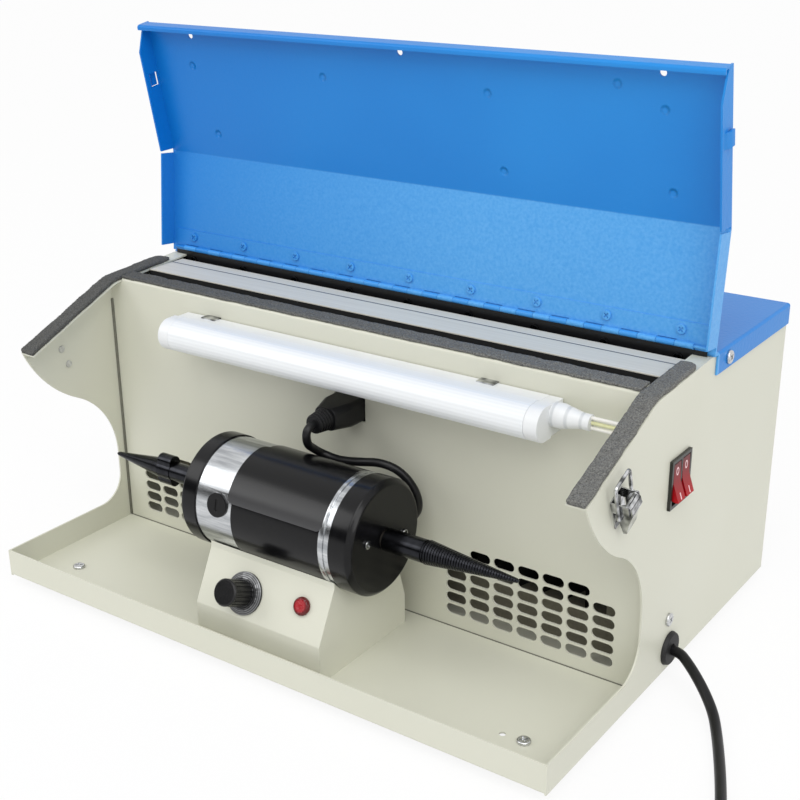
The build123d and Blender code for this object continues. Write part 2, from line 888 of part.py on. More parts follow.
def hood_plane(x):
    """The hood's side view at one x."""
    return Plane(origin=place(x, hinge_back, hinge_height), x_dir=hood_up, z_dir=(1, 0, 0))


def upper_point(along, depth):
    """A point of the hood's upper panel, along it from the fold and inwards from its inner face."""
    turn = radians(hood_bend)
    rise = hood_lower + along * cos(turn) - depth * sin(turn)
    inward = -leaf_back + along * sin(turn) + depth * cos(turn)
    return (rise, inward)


def hood_bar(x_range, rise_range, inward_range):
    """Box in the hood's own directions."""
    plane = hood_plane(x_range[0])
    face = make_face(Polyline(
        (rise_range[0], inward_range[0]),
        (rise_range[1], inward_range[0]),
        (rise_range[1], inward_range[1]),
        (rise_range[0], inward_range[1]),
        close=True,
    ))
    return extrude(plane * face, amount=x_range[1] - x_range[0])


hood_foot = (cover_top + hood_stop_gap - hinge_height + (leaf_back + sheet) * sin(lean)) / cos(lean)
hood_line = [
    upper_point(hood_upper - hood_lip_return, hood_lip_depth),
    upper_point(hood_upper, hood_lip_depth),
    upper_point(hood_upper, 0),
    (hood_lower, -leaf_back),
    (hood_foot, -leaf_back),
]
hood = extrude(hood_plane(-hood_half) * folded(hood_line, sheet, fold_radius), amount=2 * hood_half)
flange_back = -leaf_back - sheet
flange_front = -leaf_back + hood_flange_depth
lower_flange = make_face(Polyline(
    (hood_flange_root, flange_back),
    (hood_lower - hood_fold_relief, flange_back),
    (hood_lower - hood_fold_relief, flange_front),
    (hood_flange_root, flange_front),
    close=True,
))
upper_flange = make_face(Polyline(
    upper_point(hood_fold_relief, -sheet),
    upper_point(hood_upper + sheet, -sheet),
    upper_point(hood_upper + sheet, hood_chamfer_depth),
    upper_point(hood_upper - hood_chamfer_length, hood_flange_depth),
    upper_point(hood_flange_depth * tan(radians(hood_bend)), hood_flange_depth),
    close=True,
))
catch_window = make_face(Polyline(
    upper_point(catch_along - catch_length / 2, catch_depth - catch_width),
    upper_point(catch_along + catch_length / 2, catch_depth - catch_width),
    upper_point(catch_along + catch_length / 2, catch_depth),
    upper_point(catch_along - catch_length / 2, catch_depth),
    close=True,
))
flange_inner = hood_half - sheet
hood_side = extrude(hood_plane(flange_inner) * (lower_flange + upper_flange), amount=sheet)
hood_side -= extrude(hood_plane(flange_inner - overrun) * catch_window, amount=2 * overrun)
catch_side = hood_plane(flange_inner)
catch_low = catch_along - catch_length / 2
catch_origin = Vector(*catch_side.from_local_coords(upper_point(catch_low, catch_depth)))
catch_inward_tip = Vector(*catch_side.from_local_coords(upper_point(catch_low, 0)))
catch_run = (catch_inward_tip - catch_origin).normalized()
catch_direction = catch_run.cross(Vector(1, 0, 0))
catch_plane = Plane(origin=catch_origin, x_dir=catch_run, z_dir=catch_direction)
catch_sign = 1 if catch_plane.y_dir.X > 0 else -1
catch_outer = catch_sign * (sheet + catch_rise)
catch_line = [
    (-sheet, 0),
    (-sheet, catch_sign * sheet),
    (catch_width * catch_ramp_share, catch_outer),
    (catch_width, catch_outer),
    (catch_width, catch_outer - catch_sign * sheet),
    (catch_width * catch_ramp_share, catch_outer - catch_sign * sheet),
    (0, 0),
]
catch_reach = Vector(*catch_side.from_local_coords(upper_point(catch_low + catch_length, catch_depth)))
catch_amount = catch_length if (catch_reach - catch_origin).dot(catch_direction) > 0 else -catch_length
hood_catch = extrude(catch_plane * make_face(Polyline(*catch_line, close=True)), amount=catch_amount)
hood_side += hood_catch
hood += [hood_side, mirror(hood_side, about=Plane.YZ)]
lip_hole_high = upper_point(hood_upper - hood_hole_drop, -overrun)
for n in (-1, 0, 1):
    hole_plane = hood_plane(n * (half_width - hood_hole_inset))
    start = hole_plane.from_local_coords(upper_point(hood_upper - hood_hole_drop, hood_lip_depth / 2))
    end = hole_plane.from_local_coords(lip_hole_high)
    hood -= rod(start, end, hood_hole_radius)

# Moving leaf and its screws
leaf_front = -leaf_back + leaf_thickness
moving_leaf = hood_bar((-hinge_half, hinge_half), (0, leaf_width), (-leaf_back, leaf_front))
for x in fixed_knuckles:
    moving_leaf -= hood_bar(
        (x - notch_length / 2, x + notch_length / 2),
        (-overrun, leaf_back),
        (-leaf_back - overrun, leaf_back),
    )
moving_leaf += [barrel(x, barrel_radius, knuckle_length) for x in moving_knuckles]
hood_screws = []
hood_screw_holes = []
for x in leaf_screw_places:
    screw_plane = hood_plane(x)
    outer_end = screw_plane.from_local_coords((leaf_screw_rise, flange_back))
    seat = screw_plane.from_local_coords((leaf_screw_rise, leaf_front))
    head_end = screw_plane.from_local_coords((leaf_screw_rise, leaf_front + leaf_screw_head_height))
    shank = rod(outer_end, seat, leaf_screw_radius)
    hood_screw_holes.append(shank)
    hood_screws.append(shank + rod(seat, head_end, leaf_screw_head_radius))
moving_leaf -= [barrel(0, pin_radius + pin_clearance, 2 * half_width), *hood_screw_holes]
save("hood_hinge_leaf", moving_leaf)
save("hood_leaf_screws", *hood_screws)
save("hood", hood - hood_screw_holes)

# Extractor fan: square frame with a strutted hub, and a bladed impeller on a pin
fan_plane = Plane(origin=place(0, rear_face, fan_height), x_dir=(1, 0, 0), z_dir=(0, -1, 0))
fan_axis = Axis(fan_plane.origin, fan_plane.z_dir)
fan_frame = extrude(fan_plane * RectangleRounded(fan_size, fan_size, fan_corner_radius), amount=fan_depth)
fan_frame -= fan_plane * Cylinder(fan_bore_radius, 2 * fan_depth + overrun)
fan_hub = extrude(fan_plane * Circle(fan_hub_radius), amount=fan_hub_depth)
strut_span = 2 * (fan_bore_radius + fit_gap)
fan_struts = Rectangle(strut_span, fan_strut_width) + Rectangle(fan_strut_width, strut_span)
fan_frame += fan_hub + extrude(fan_plane * fan_struts, amount=fan_strut_depth)
rotor_near = fan_hub_depth + fan_rotor_gap
fan_frame -= extrude(fan_plane * Circle(fan_pin_radius + running_clearance), amount=fan_hub_depth + overrun)
save("fan_frame", fan_frame)
rotor_plane = fan_plane.offset(rotor_near)
impeller = extrude(rotor_plane * Circle(fan_hub_radius), amount=fan_rotor_depth)
blade_room = extrude(rotor_plane * Circle(fan_bore_radius - fan_tip_gap), amount=fan_rotor_depth)
blade_middle = fan_hub_radius + (fan_bore_radius - fan_hub_radius) / 2
blade = Box(fan_bore_radius, fan_blade_thickness, fan_blade_chord)
blade = Pos(blade_middle, 0, fan_rotor_depth / 2) * Rot(fan_blade_pitch, 0, 0) * blade
for n in range(fan_blade_count):
    turned_blade = rotor_plane * Rot(0, 0, n * 360 / fan_blade_count) * blade
    impeller += turned_blade & blade_room
fan_pin_reach = fan_rotor_gap + fan_pin_length
impeller += extrude(rotor_plane.offset(-fan_pin_reach) * Circle(fan_pin_radius), amount=fan_pin_reach)
save("fan_impeller", impeller)

# Switch frame with two pockets, and its two rockers
switch_plane = Plane(
    origin=place(half_width, switch_middle_back, switch_middle_height),
    x_dir=(0, 1, 0),
    z_dir=(1, 0, 0),
)
switch_frame = extrude(switch_plane * Rectangle(switch_width, switch_height), amount=switch_bezel)
switch_body_face = switch_plane * Rectangle(switch_body_width, switch_body_height)
switch_frame += extrude(switch_body_face, amount=-switch_body_depth)
pocket_width = (switch_width - 2 * switch_rim - switch_wall) / 2
pocket_height = switch_height - 2 * switch_rim
pocket_floor = switch_body_depth - switch_wall
rocker_offset = (pocket_width + switch_wall) / 2
rocker_width = pocket_width - 2 * rocker_gap
rocker_outline = [
    (-rocker_pivot_depth - rocker_depth, -rocker_half_height / 2),
    (rocker_face - rocker_hollow, -rocker_half_height),
    (rocker_face, -rocker_half_height),
    (rocker_face - rocker_hollow, 0),
    (rocker_face, rocker_half_height),
    (rocker_face - rocker_hollow, rocker_half_height),
    (-rocker_pivot_depth - rocker_depth, rocker_half_height / 2),
]
rocker_pin_span = rocker_width + 2 * (rocker_gap + rocker_pin_length)
for name, side in (("front_rocker", -1), ("rear_rocker", 1)):
    middle = switch_middle_back + side * rocker_offset
    pocket_face = switch_plane * Pos(side * rocker_offset, 0) * Rectangle(pocket_width, pocket_height)
    pocket = extrude(pocket_face, amount=-pocket_floor) + extrude(pocket_face, amount=switch_bezel + overrun)
    pivot = place(half_width - rocker_pivot_depth, middle, switch_middle_height)
    half_span = Vector(0, rocker_pin_span / 2, 0)
    switch_frame -= [pocket, rod(pivot - half_span, pivot + half_span, rocker_pin_radius + running_clearance)]
    rocker_end = place(half_width, middle + rocker_width / 2, switch_middle_height)
    rocker_plane = Plane(origin=rocker_end, x_dir=(1, 0, 0), z_dir=(0, -1, 0))
    rocker = extrude(rocker_plane * make_face(Polyline(*rocker_outline, close=True)), amount=rocker_width)
    pin_half = Vector(0, rocker_pin_span / 2 - fit_gap, 0)
    rocker += rod(pivot - pin_half, pivot + pin_half, rocker_pin_radius)
    save(name, rocker.rotate(Axis(pivot, (0, 1, 0)), -rocker_tilt))
save("switch_frame", switch_frame)

# Toggle latches: riveted base with ears and pivot, channel lever, wire bail
ear_half = latch_lever_width / 2 + fit_gap
ear_outer = ear_half + latch_plate_thickness


def latch_block(up_range, wide_range, out_range):
    """Box in the latch's own directions: up, wide, out."""
    width = wide_range[1] - wide_range[0]
    middle_up = (up_range[0] + up_range[1]) / 2
    middle_wide = (wide_range[0] + wide_range[1]) / 2
    face = Pos(middle_up, middle_wide) * Rectangle(up_range[1] - up_range[0], width)
    return extrude(latch_plane.offset(out_range[0]) * face, amount=out_range[1] - out_range[0])


def latch_rod(up, out, half_span, radius):
    """Round bar across the latch."""
    start = latch_plane.from_local_coords((up, -half_span, out))
    end = latch_plane.from_local_coords((up, half_span, out))
    return rod(start, end, radius)


plate_ups = (-latch_plate_drop, latch_plate_rise)
latch_base = latch_block(plate_ups, (-ear_outer, ear_outer), (0, latch_plate_thickness))
ear_low = latch_pivot_rise - latch_ear_length / 2
ear_high = latch_pivot_rise + latch_ear_length / 2
ear_top = latch_pivot_out + 2 * latch_pivot_radius
for side in (-1, 1):
    wide = sorted((side * ear_half, side * ear_outer))
    latch_base += latch_block((ear_low, ear_high), wide, (latch_plate_thickness, ear_top))
latch_base += latch_rod(latch_pivot_rise, latch_pivot_out, ear_outer, latch_pivot_radius)
latch_base -= rivet_holes
save("latch_bases", latch_base, mirror(latch_base, about=Plane.YZ))
save("latch_rivets", *rivets, *[mirror(rivet, about=Plane.YZ) for rivet in rivets])

lever_side = Plane(
    origin=latch_plane.from_local_coords((0, -latch_lever_width / 2, 0)),
    x_dir=latch_plane.x_dir,
    z_dir=latch_plane.y_dir,
)
lever_out = -1 if lever_side.y_dir.X < 0 else 1
lever_points = [(up, lever_out * out) for up, out in latch_lever_outline]
lever = extrude(lever_side * make_face(Polyline(*lever_points, close=True)), amount=latch_lever_width)
hollow_points = [(up, lever_out * out) for up, out in latch_hollow_outline]
hollow_start = lever_side.offset(latch_lever_wall)
hollow_face = make_face(Polyline(*hollow_points, close=True))
hollow = extrude(hollow_start * hollow_face, amount=latch_lever_width - 2 * latch_lever_wall)
lever -= hollow
lever -= latch_rod(latch_pivot_rise, latch_pivot_out, ear_outer, latch_pivot_radius + pin_clearance)
bail_half = latch_bail_width / 2
bail_stub = latch_lever_width / 2 - latch_lever_wall
lever -= latch_rod(latch_bail_rise, latch_bail_out, ear_outer, latch_wire_radius + pin_clearance)
save("right_latch_lever", lever)
save("left_latch_lever", mirror(lever, about=Plane.YZ))

bail_points = [
    (latch_bail_rise, -bail_stub, latch_bail_out),
    (latch_bail_rise, -bail_half, latch_bail_out),
    (latch_bail_top, -bail_half, latch_bail_top_out),
    (latch_bail_top, bail_half, latch_bail_top_out),
    (latch_bail_rise, bail_half, latch_bail_out),
    (latch_bail_rise, bail_stub, latch_bail_out),
]
bail_corners = [latch_plane.from_local_coords(point) for point in bail_points]
bail_path = FilletPolyline(*bail_corners, radius=latch_bail_corner)
bail_start = Plane(origin=bail_path @ 0, z_dir=bail_path % 0)
bail = sweep(bail_start * Circle(latch_wire_radius), path=bail_path)
save("right_latch_bail", bail)
save("left_latch_bail", mirror(bail, about=Plane.YZ))

# Batten lamp: channel, diffuser, end caps and spring clips
lamp_rear = inner_back - lamp_clip_thickness
lamp_front = lamp_rear - lamp_depth
channel_front = lamp_rear - lamp_channel_depth
lamp_low = lamp_centre_height - lamp_height / 2
lamp_high = lamp_centre_height + lamp_height / 2
channel_low = lamp_low + lamp_channel_inset
channel_high = lamp_high - lamp_channel_inset
dome_radius = lamp_height / 2
dome_back = lamp_front + dome_radius


def lamp_dome(inset):
    """Side view of the diffuser, moved in by an inset, flat at the back and round at the front."""
    radius = dome_radius - inset
    low = (dome_back, lamp_centre_height - radius)
    high = (dome_back, lamp_centre_height + radius)
    middle = (dome_back - radius, lamp_centre_height)
    outline = ThreePointArc(low, middle, high)
    outline += Polyline(high, (channel_front, high[1]), (channel_front, low[1]), low)
    return make_face(outline.edges())


lamp_left = lamp_left_room - half_width
lamp_right = half_width - lamp_right_room
body_left = lamp_left + lamp_cap_length
body_right = lamp_right - lamp_cap_length
channel_face = make_face(Polyline(
    (channel_front, channel_low),
    (lamp_rear, channel_low),
    (lamp_rear, channel_high),
    (channel_front, channel_high),
    close=True,
))
body_length = body_right - body_left
lamp_channel = extrude(side_plane(body_left) * channel_face, amount=body_length)
channel_room = slab(
    (body_left - overrun, body_right + overrun),
    (channel_front + lamp_wall, lamp_rear - lamp_wall),
    (channel_low + lamp_wall, channel_high - lamp_wall),
)
save("lamp_channel", lamp_channel - channel_room)
diffuser = extrude(side_plane(body_left) * lamp_dome(0), amount=body_length)
diffuser_start = side_plane(body_left - overrun)
diffuser_room = extrude(diffuser_start * lamp_dome(lamp_wall), amount=body_length + 2 * overrun)
save("lamp_diffuser", diffuser - diffuser_room)
cap_face = channel_face + lamp_dome(0)
left_lamp_cap = extrude(side_plane(lamp_left) * cap_face, amount=lamp_cap_length)
right_lamp_cap = extrude(side_plane(body_right) * cap_face, amount=lamp_cap_length)
save("lamp_end_caps", left_lamp_cap, right_lamp_cap)
clip_line = [
    (lamp_rear - lamp_clip_hook, channel_low),
    (lamp_rear, channel_low),
    (lamp_rear, channel_high),
    (lamp_rear - lamp_clip_hook, channel_high),
]
clip_face = strip(list(reversed(clip_line)), lamp_clip_thickness)
lamp_clips = []
for x in (lamp_left + lamp_clip_inset_left, lamp_right - lamp_clip_inset_right):
    lamp_clips.append(extrude(side_plane(x - lamp_clip_width / 2) * clip_face, amount=lamp_clip_width))
save("lamp_clips", *lamp_clips)
connector_plane = Plane(
    origin=place(lamp_right, inner_back - connector_setback, lamp_centre_height + connector_rise),
    x_dir=(1, 0, 0),
    z_dir=(0, -1, 0),
)
connector = turned(connector_plane, [
    (0, 0),
    (0, connector_base_radius),
    (connector_length * connector_straight_share, connector_base_radius),
    (connector_length * (connector_straight_share + connector_taper_share), connector_end_radius),
    (connector_length, connector_end_radius),
    (connector_length, 0),
])
save("lamp_connector", connector)

# Lamp lead: three cores side by side from the connector to the inner panel near the right end
lead_start_x = lamp_right + connector_length
lead_back = inner_back - connector_setback
lead_height = lamp_centre_height + connector_rise
lead_turn_x = half_width - lead_turn_inset
lead_points = [
    (lead_start_x, lead_back, lead_height),
    (lead_turn_x, lead_back, lead_height),
    (lead_turn_x, inner_back, lead_height),
]


def cord_path(points, label):
    """Straight runs joined by arcs as large as the runs allow."""
    corners = [Vector(*point) for point in points]
    runs = [b - a for a, b in zip(corners, corners[1:])]
    rooms = [run.length * cord_bend_share for run in runs]
    rooms[0] = runs[0].length * cord_end_bend_share
    rooms[-1] = runs[-1].length * cord_end_bend_share
    radii = []
    for first, second, room, next_room in zip(runs, runs[1:], rooms, rooms[1:]):
        turn = radians(first.get_angle(second))
        radii.append(min(room, next_room) / tan(turn / 2))
    print("cord radii", label, [round(radius, 1) for radius in radii])
    return FilletPolyline(*corners, radius=radii)


def cord_tube(points, radius, label):
    """Round tube along a cord's route, with its volume held against its length."""
    path = cord_path(points, label)
    section = Plane(origin=path @ 0, z_dir=path % 0) * Circle(radius)
    tube = sweep(section, path=path)
    share = tube.volume / (pi * radius ** 2 * path.length)
    print(label, "length", round(path.length, 1), "volume share", round(share, 4))
    return tube


lead_cores_solids = []
for core in range(lead_core_count):
    lift = (core - (lead_core_count - 1) / 2) * lead_core_pitch
    core_route = [place(x, back, height + lift) for x, back, height in lead_points]
    lead_cores_solids.append(cord_tube(core_route, lead_core_radius, "lamp_lead"))
save("lamp_lead", *lead_cores_solids)
lead_hole_half = (lead_core_count - 1) / 2 * lead_core_pitch + lead_core_radius
inner_panel -= slab(
    (lead_turn_x - lead_core_radius, lead_turn_x + lead_core_radius),
    (inner_back - overrun, inner_back + overrun),
    (lead_height - lead_hole_half, lead_height + lead_hole_half),
)
save("inner_panel", inner_panel)

# Outlet behind the inner panel, and the motor plug pushed into it
outlet_front = inner_back + sheet
plug_plane = front_plane(inner_back)
plug_middle = (plug_side, plug_height)
outlet_plane = front_plane(outlet_front)
outlet_width = plug_width + 2 * (fit_gap + outlet_wall)
outlet_tall = plug_thickness + 2 * (fit_gap + outlet_wall)
outlet_face = outlet_plane * Pos(*plug_middle) * Rectangle(outlet_width, outlet_tall)
outlet = extrude(outlet_face, amount=-outlet_depth)
outlet_plate = Rectangle(outlet_width + 2 * outlet_flange, outlet_tall + outlet_flange)
outlet += extrude(outlet_plane * Pos(*plug_middle) * outlet_plate, amount=-outlet_flange_thickness)
plug_socket = Rectangle(plug_width + 2 * fit_gap, plug_thickness + 2 * fit_gap)
outlet -= extrude(outlet_plane * Pos(*plug_middle) * plug_socket, amount=-plug_insertion)
save("motor_outlet", outlet)
plug_body_face = RectangleRounded(plug_width, plug_thickness, plug_corner)
plug_nose = extrude(plug_plane * Pos(*plug_middle) * plug_body_face, amount=-plug_insertion)
motor_plug = plug_nose + extrude(plug_plane * Pos(*plug_middle) * plug_body_face, amount=plug_straight)
plug_neck_face = RectangleRounded(plug_neck_width, plug_neck_height, plug_neck_corner)
neck_start = plug_plane.offset(plug_straight) * Pos(*plug_middle) * plug_body_face
neck_end = plug_plane.offset(plug_length) * Pos(*plug_middle) * plug_neck_face
motor_plug += loft([neck_start.face(), neck_end.face()], ruled=True)
relief_start = place(plug_side, inner_back - plug_length, plug_height)
relief_plane = Plane(origin=relief_start, x_dir=(0, -1, 0), z_dir=(1, 0, 0))
motor_plug += turned(relief_plane, [
    (0, 0),
    (0, plug_relief_radius),
    (plug_relief_length, plug_relief_tip_radius),
    (plug_relief_length, 0),
])
save("motor_plug", motor_plug)

# Polishing motor: tube, sleeve, end caps, brush caps and screws
motor_plane = Plane(origin=place(0, motor_back, motor_height), x_dir=(1, 0, 0), z_dir=(0, -1, 0))
tube_inner = motor_radius - motor_wall
motor_tube = turned(motor_plane, [
    (tube_left, tube_inner),
    (tube_right, tube_inner),
    (tube_right, motor_radius),
    (tube_left, motor_radius),
])
brush_seat = sqrt(motor_radius ** 2 - brush_cap_radius ** 2)
brush_caps = []
for turn in (brush_angle, brush_angle + 180):
    out = Vector(0, -cos(radians(turn)), sin(radians(turn)))
    centre = motor_plane.from_local_coords((brush_side, 0))
    seat = centre + out * brush_seat
    crown = centre + out * (motor_radius + brush_cap_rise)
    stem = centre + out * (tube_inner - fit_gap)
    motor_tube -= [rod(seat, crown, brush_cap_radius), rod(stem, seat, brush_stem_radius)]
    brush_cap = rod(seat, crown, brush_cap_radius) + rod(stem, seat, brush_stem_radius)
    slot_plane = Plane(origin=crown, x_dir=(1, 0, 0), z_dir=out)
    slot = extrude(slot_plane * Rectangle(brush_slot_width, brush_cap_radius), amount=-brush_slot_depth)
    brush_caps.append(brush_cap - slot)
save("motor_tube", motor_tube)
save("brush_caps", *brush_caps)
sleeve_radius = motor_radius + sleeve_thickness
save("motor_sleeve", turned(motor_plane, [
    (sleeve_left, motor_radius),
    (sleeve_right, motor_radius),
    (sleeve_right, sleeve_radius),
    (sleeve_left, sleeve_radius),
]))
shaft_hole = shaft_radius + shaft_hole_clearance


def end_cap(face_x, rim_x, bevel):
    """Closed cap on one end of the tube, with a boss that holds a bearing."""
    inward = 1 if rim_x > face_x else -1
    plate_x = face_x + inward * cap_wall
    seat_x = plate_x + inward * bearing_width
    return turned(motor_plane, [
        (face_x, shaft_hole),
        (face_x, cap_radius - bevel),
        (face_x + inward * bevel, cap_radius),
        (rim_x, cap_radius),
        (rim_x, tube_inner),
        (plate_x, tube_inner),
        (plate_x, bearing_radius + cap_wall),
        (seat_x, bearing_radius + cap_wall),
        (seat_x, bearing_radius),
        (plate_x, bearing_radius),
        (plate_x, shaft_hole),
    ])


screw_places = []
for turn in (cap_screw_angle, cap_screw_angle + 180):
    screw_places.append((cap_screw_circle * cos(radians(turn)), cap_screw_circle * sin(radians(turn))))
cap_screws = []
for face_x, out in ((left_cap_face, -1), (right_cap_face, 1)):
    for back_shift, up_shift in screw_places:
        seat = place(face_x, motor_back + back_shift, motor_height + up_shift)
        head_end = seat + Vector(out * cap_screw_height, 0, 0)
        head = rod(seat, head_end, cap_screw_radius)
        cap_screws.append(head)
save("left_end_cap", end_cap(left_cap_face, tube_left, left_cap_bevel))
save("right_end_cap", end_cap(right_cap_face, tube_right, right_cap_bevel))
save("end_cap_screws", *cap_screws)

# Inside the motor: stator, bearings and the armature on its shaft
tube_middle = (tube_left + tube_right) / 2
stator_left = tube_middle - stator_length / 2
stator_right = tube_middle + stator_length / 2
save("motor_stator", turned(motor_plane, [
    (stator_left, stator_bore),
    (stator_right, stator_bore),
    (stator_right, tube_inner),
    (stator_left, tube_inner),
]))
bearings = []
for face_x, inward in ((left_cap_face, 1), (right_cap_face, -1)):
    near = face_x + inward * cap_wall
    far = near + inward * bearing_width
    bearings.append(turned(motor_plane, [
        (near, shaft_radius + running_clearance),
        (far, shaft_radius + running_clearance),
        (far, bearing_radius),
        (near, bearing_radius),
    ]))
save("motor_bearings", *bearings)
core_radius = stator_bore - air_gap
core_left = tube_middle - armature_length / 2
core_right = tube_middle + armature_length / 2
commutator_left = core_left - commutator_length
shaft_left = left_cap_face - shaft_reach
shaft_right = right_cap_face + shaft_reach
armature = turned(motor_plane, [
    (shaft_left, 0),
    (shaft_left, shaft_radius),
    (commutator_left, shaft_radius),
    (commutator_left, commutator_radius),
    (core_left, commutator_radius),
    (core_left, core_radius),
    (core_right, core_radius),
    (core_right, shaft_radius),
    (shaft_right, shaft_radius),
    (shaft_right, 0),
])
save("armature", armature)

# Taper spindles pressed on both shaft ends
left_hub_start = left_cap_face - spindle_gap
left_spindle = turned(motor_plane, [
    (left_hub_start, shaft_radius),
    (left_hub_start, left_hub_radius),
    (left_hub_end, left_hub_radius),
    (left_hub_end, left_hub_radius + left_collar_step),
    (left_collar_end, left_hub_radius + left_collar_step),
    (left_collar_end, left_taper_radius),
    (left_tip + tip_radius, tip_radius),
    (left_tip, tip_radius / 2),
    (left_tip, 0),
    (shaft_left, 0),
    (shaft_left, shaft_radius),
])
wing_start = motor_plane.from_local_coords((left_hub_end, 0))
wing_plane = Plane(origin=wing_start, x_dir=(0, 0, 1), z_dir=(-1, 0, 0))
wing_bar = extrude(wing_plane * SlotOverall(wing_span, wing_width), amount=left_hub_end - left_collar_end)
wing_bar -= rod(
    motor_plane.from_local_coords((left_hub_end + overrun, 0)),
    motor_plane.from_local_coords((left_collar_end - overrun, 0)),
    left_hub_radius,
)
left_spindle += wing_bar
save("left_spindle", left_spindle)
right_hub_start = right_cap_face + spindle_gap
save("right_spindle", turned(motor_plane, [
    (right_hub_start, shaft_radius),
    (right_hub_start, right_collar_radius),
    (right_collar_end - groove_width, right_collar_radius),
    (right_collar_end - groove_width, right_collar_radius - groove_depth),
    (right_collar_end, right_collar_radius - groove_depth),
    (right_collar_end, right_taper_radius),
    (right_tip - tip_radius, tip_radius),
    (right_tip, tip_radius / 2),
    (right_tip, 0),
    (shaft_right, 0),
    (shaft_right, shaft_radius),
]))

# Motor pedestal: folded shell with a sloping control face and a saddle for the motor
pedestal_outline = [
    (pedestal_front, sheet),
    (pedestal_front, pedestal_crease),
    (pedestal_front_top_back, pedestal_front_top),
    (pedestal_front_top_back, motor_height),
    (pedestal_rear_top_back, motor_height),
    (pedestal_rear_top_back, pedestal_rear_top),
    (pedestal_rear, pedestal_rear_crease),
    (pedestal_rear, sheet),
]
pedestal_face = make_face(Polyline(*pedestal_outline, close=True))
pedestal_length = pedestal_right - pedestal_left
pedestal = extrude(side_plane(pedestal_left) * pedestal_face, amount=pedestal_length)
outer_edges = pedestal.edges().filter_by(Axis.X).sort_by(Axis.Z)
crease_edges = [edge for edge in outer_edges if edge.center().Z < foot_height + pedestal_rear_top - fit_gap]
crease_edges = [edge for edge in crease_edges if edge.center().Z > foot_height + sheet + fit_gap]
pedestal = fillet(crease_edges, pedestal_edge_radius)
inner_face = offset(pedestal_face, amount=-pedestal_wall, kind=Kind.INTERSECTION)
room_length = pedestal_length - 2 * pedestal_wall
pedestal_room = extrude(side_plane(pedestal_left + pedestal_wall) * inner_face, amount=room_length)
pedestal_room += slab(
    (pedestal_left + pedestal_wall, pedestal_right - pedestal_wall),
    (pedestal_front + pedestal_wall, pedestal_rear - pedestal_wall),
    (sheet - overrun, pedestal_rear_crease),
)
saddle_radius = sleeve_radius + saddle_gap
saddle_start = motor_plane.from_local_coords((pedestal_left - overrun, 0))
saddle_end = motor_plane.from_local_coords((pedestal_right + overrun, 0))
pedestal -= [pedestal_room, rod(saddle_start, saddle_end, saddle_radius)]
slope_run = Vector(0, slope_back_share, slope_up_share)
slope_out = Vector(0, -slope_run.Z, slope_run.Y)
slope_foot = place(0, pedestal_front, pedestal_crease)
knob_seat = slope_foot + Vector(knob_side, 0, 0) + slope_run * knob_up_slope
pilot_seat = slope_foot + Vector(pilot_side, 0, 0) + slope_run * pilot_up_slope
knob_plane = Plane(origin=knob_seat, x_dir=(1, 0, 0), z_dir=slope_out)
pilot_plane = Plane(origin=pilot_seat, x_dir=(1, 0, 0), z_dir=slope_out)
control_hole_radius = control_shaft_radius + running_clearance
control_hole = extrude(knob_plane.offset(-overrun) * Circle(control_hole_radius), amount=2 * overrun)
pilot_hole = extrude(pilot_plane.offset(-overrun) * Circle(pilot_radius - pilot_rim), amount=2 * overrun)
rear_back = pedestal_rear_top_back - pedestal_rear
rear_run = Vector(0, rear_back, pedestal_rear_top - pedestal_rear_crease).normalized()
gland_out = Vector(0, rear_run.Z, -rear_run.Y)
gland_climb = (gland_height - pedestal_rear_crease) / rear_run.Z
gland_seat = place(gland_side, pedestal_rear, pedestal_rear_crease) + rear_run * gland_climb
gland_plane = Plane(origin=gland_seat, x_dir=(1, 0, 0), z_dir=gland_out)
gland_hole = extrude(gland_plane.offset(-overrun) * Circle(gland_radius - pilot_rim), amount=2 * overrun)
pedestal -= [control_hole, pilot_hole, gland_hole]
save("motor_pedestal", pedestal)
gland = extrude(gland_plane * Circle(gland_radius), amount=gland_length, taper=gland_taper)
gland += extrude(gland_plane * Circle(gland_radius - pilot_rim), amount=-pedestal_wall - gland_inside)
save("pedestal_gland", gland)

# Speed control: potentiometer body and circuit board, knob with skirt, pilot lamp
control_plane = knob_plane.offset(-pedestal_wall)
control_body = extrude(control_plane * Circle(control_body_radius), amount=-control_body_depth)
control_body -= extrude(
    knob_plane * Circle(control_hole_radius),
    amount=-pedestal_wall - control_shaft_length,
)
board_middle = (pedestal_left + pedestal_right) / 2
board_back = (pedestal_front + pedestal_rear) / 2
board_low = sheet + board_post_height
board = slab(
    (board_middle - board_width / 2, board_middle + board_width / 2),
    (board_back - board_depth / 2, board_back + board_depth / 2),
    (board_low, board_low + board_thickness),
)
for side in (-1, 1):
    for way in (-1, 1):
        post_x = board_middle + side * (board_width / 2 - 2 * board_post_radius)
        post_back = board_back + way * (board_depth / 2 - 2 * board_post_radius)
        board += rod(place(post_x, post_back, sheet), place(post_x, post_back, board_low), board_post_radius)
save("speed_control", control_body, board)
skirt_plane = knob_plane.offset(knob_gap)
knob_profile = [
    (0, 0),
    (0, skirt_radius),
    (skirt_edge, skirt_radius),
    (skirt_thickness, grip_radius + spindle_edge),
    (skirt_thickness, grip_radius),
    (skirt_thickness + grip_length - spindle_edge, grip_radius),
    (skirt_thickness + grip_length, grip_radius - spindle_edge),
    (skirt_thickness + grip_length, 0),
]
knob_turn_plane = Plane(origin=skirt_plane.origin, x_dir=slope_out, z_dir=(1, 0, 0))
knob = turned(knob_turn_plane, knob_profile)
flute_length = grip_length - 2 * spindle_edge
for n in range(grip_flutes):
    turn = n * 2 * pi / grip_flutes
    flute_middle = Pos(grip_radius * cos(turn), grip_radius * sin(turn))
    flute_plane = skirt_plane.offset(skirt_thickness)
    knob -= extrude(flute_plane * flute_middle * Circle(grip_flute_radius), amount=flute_length)
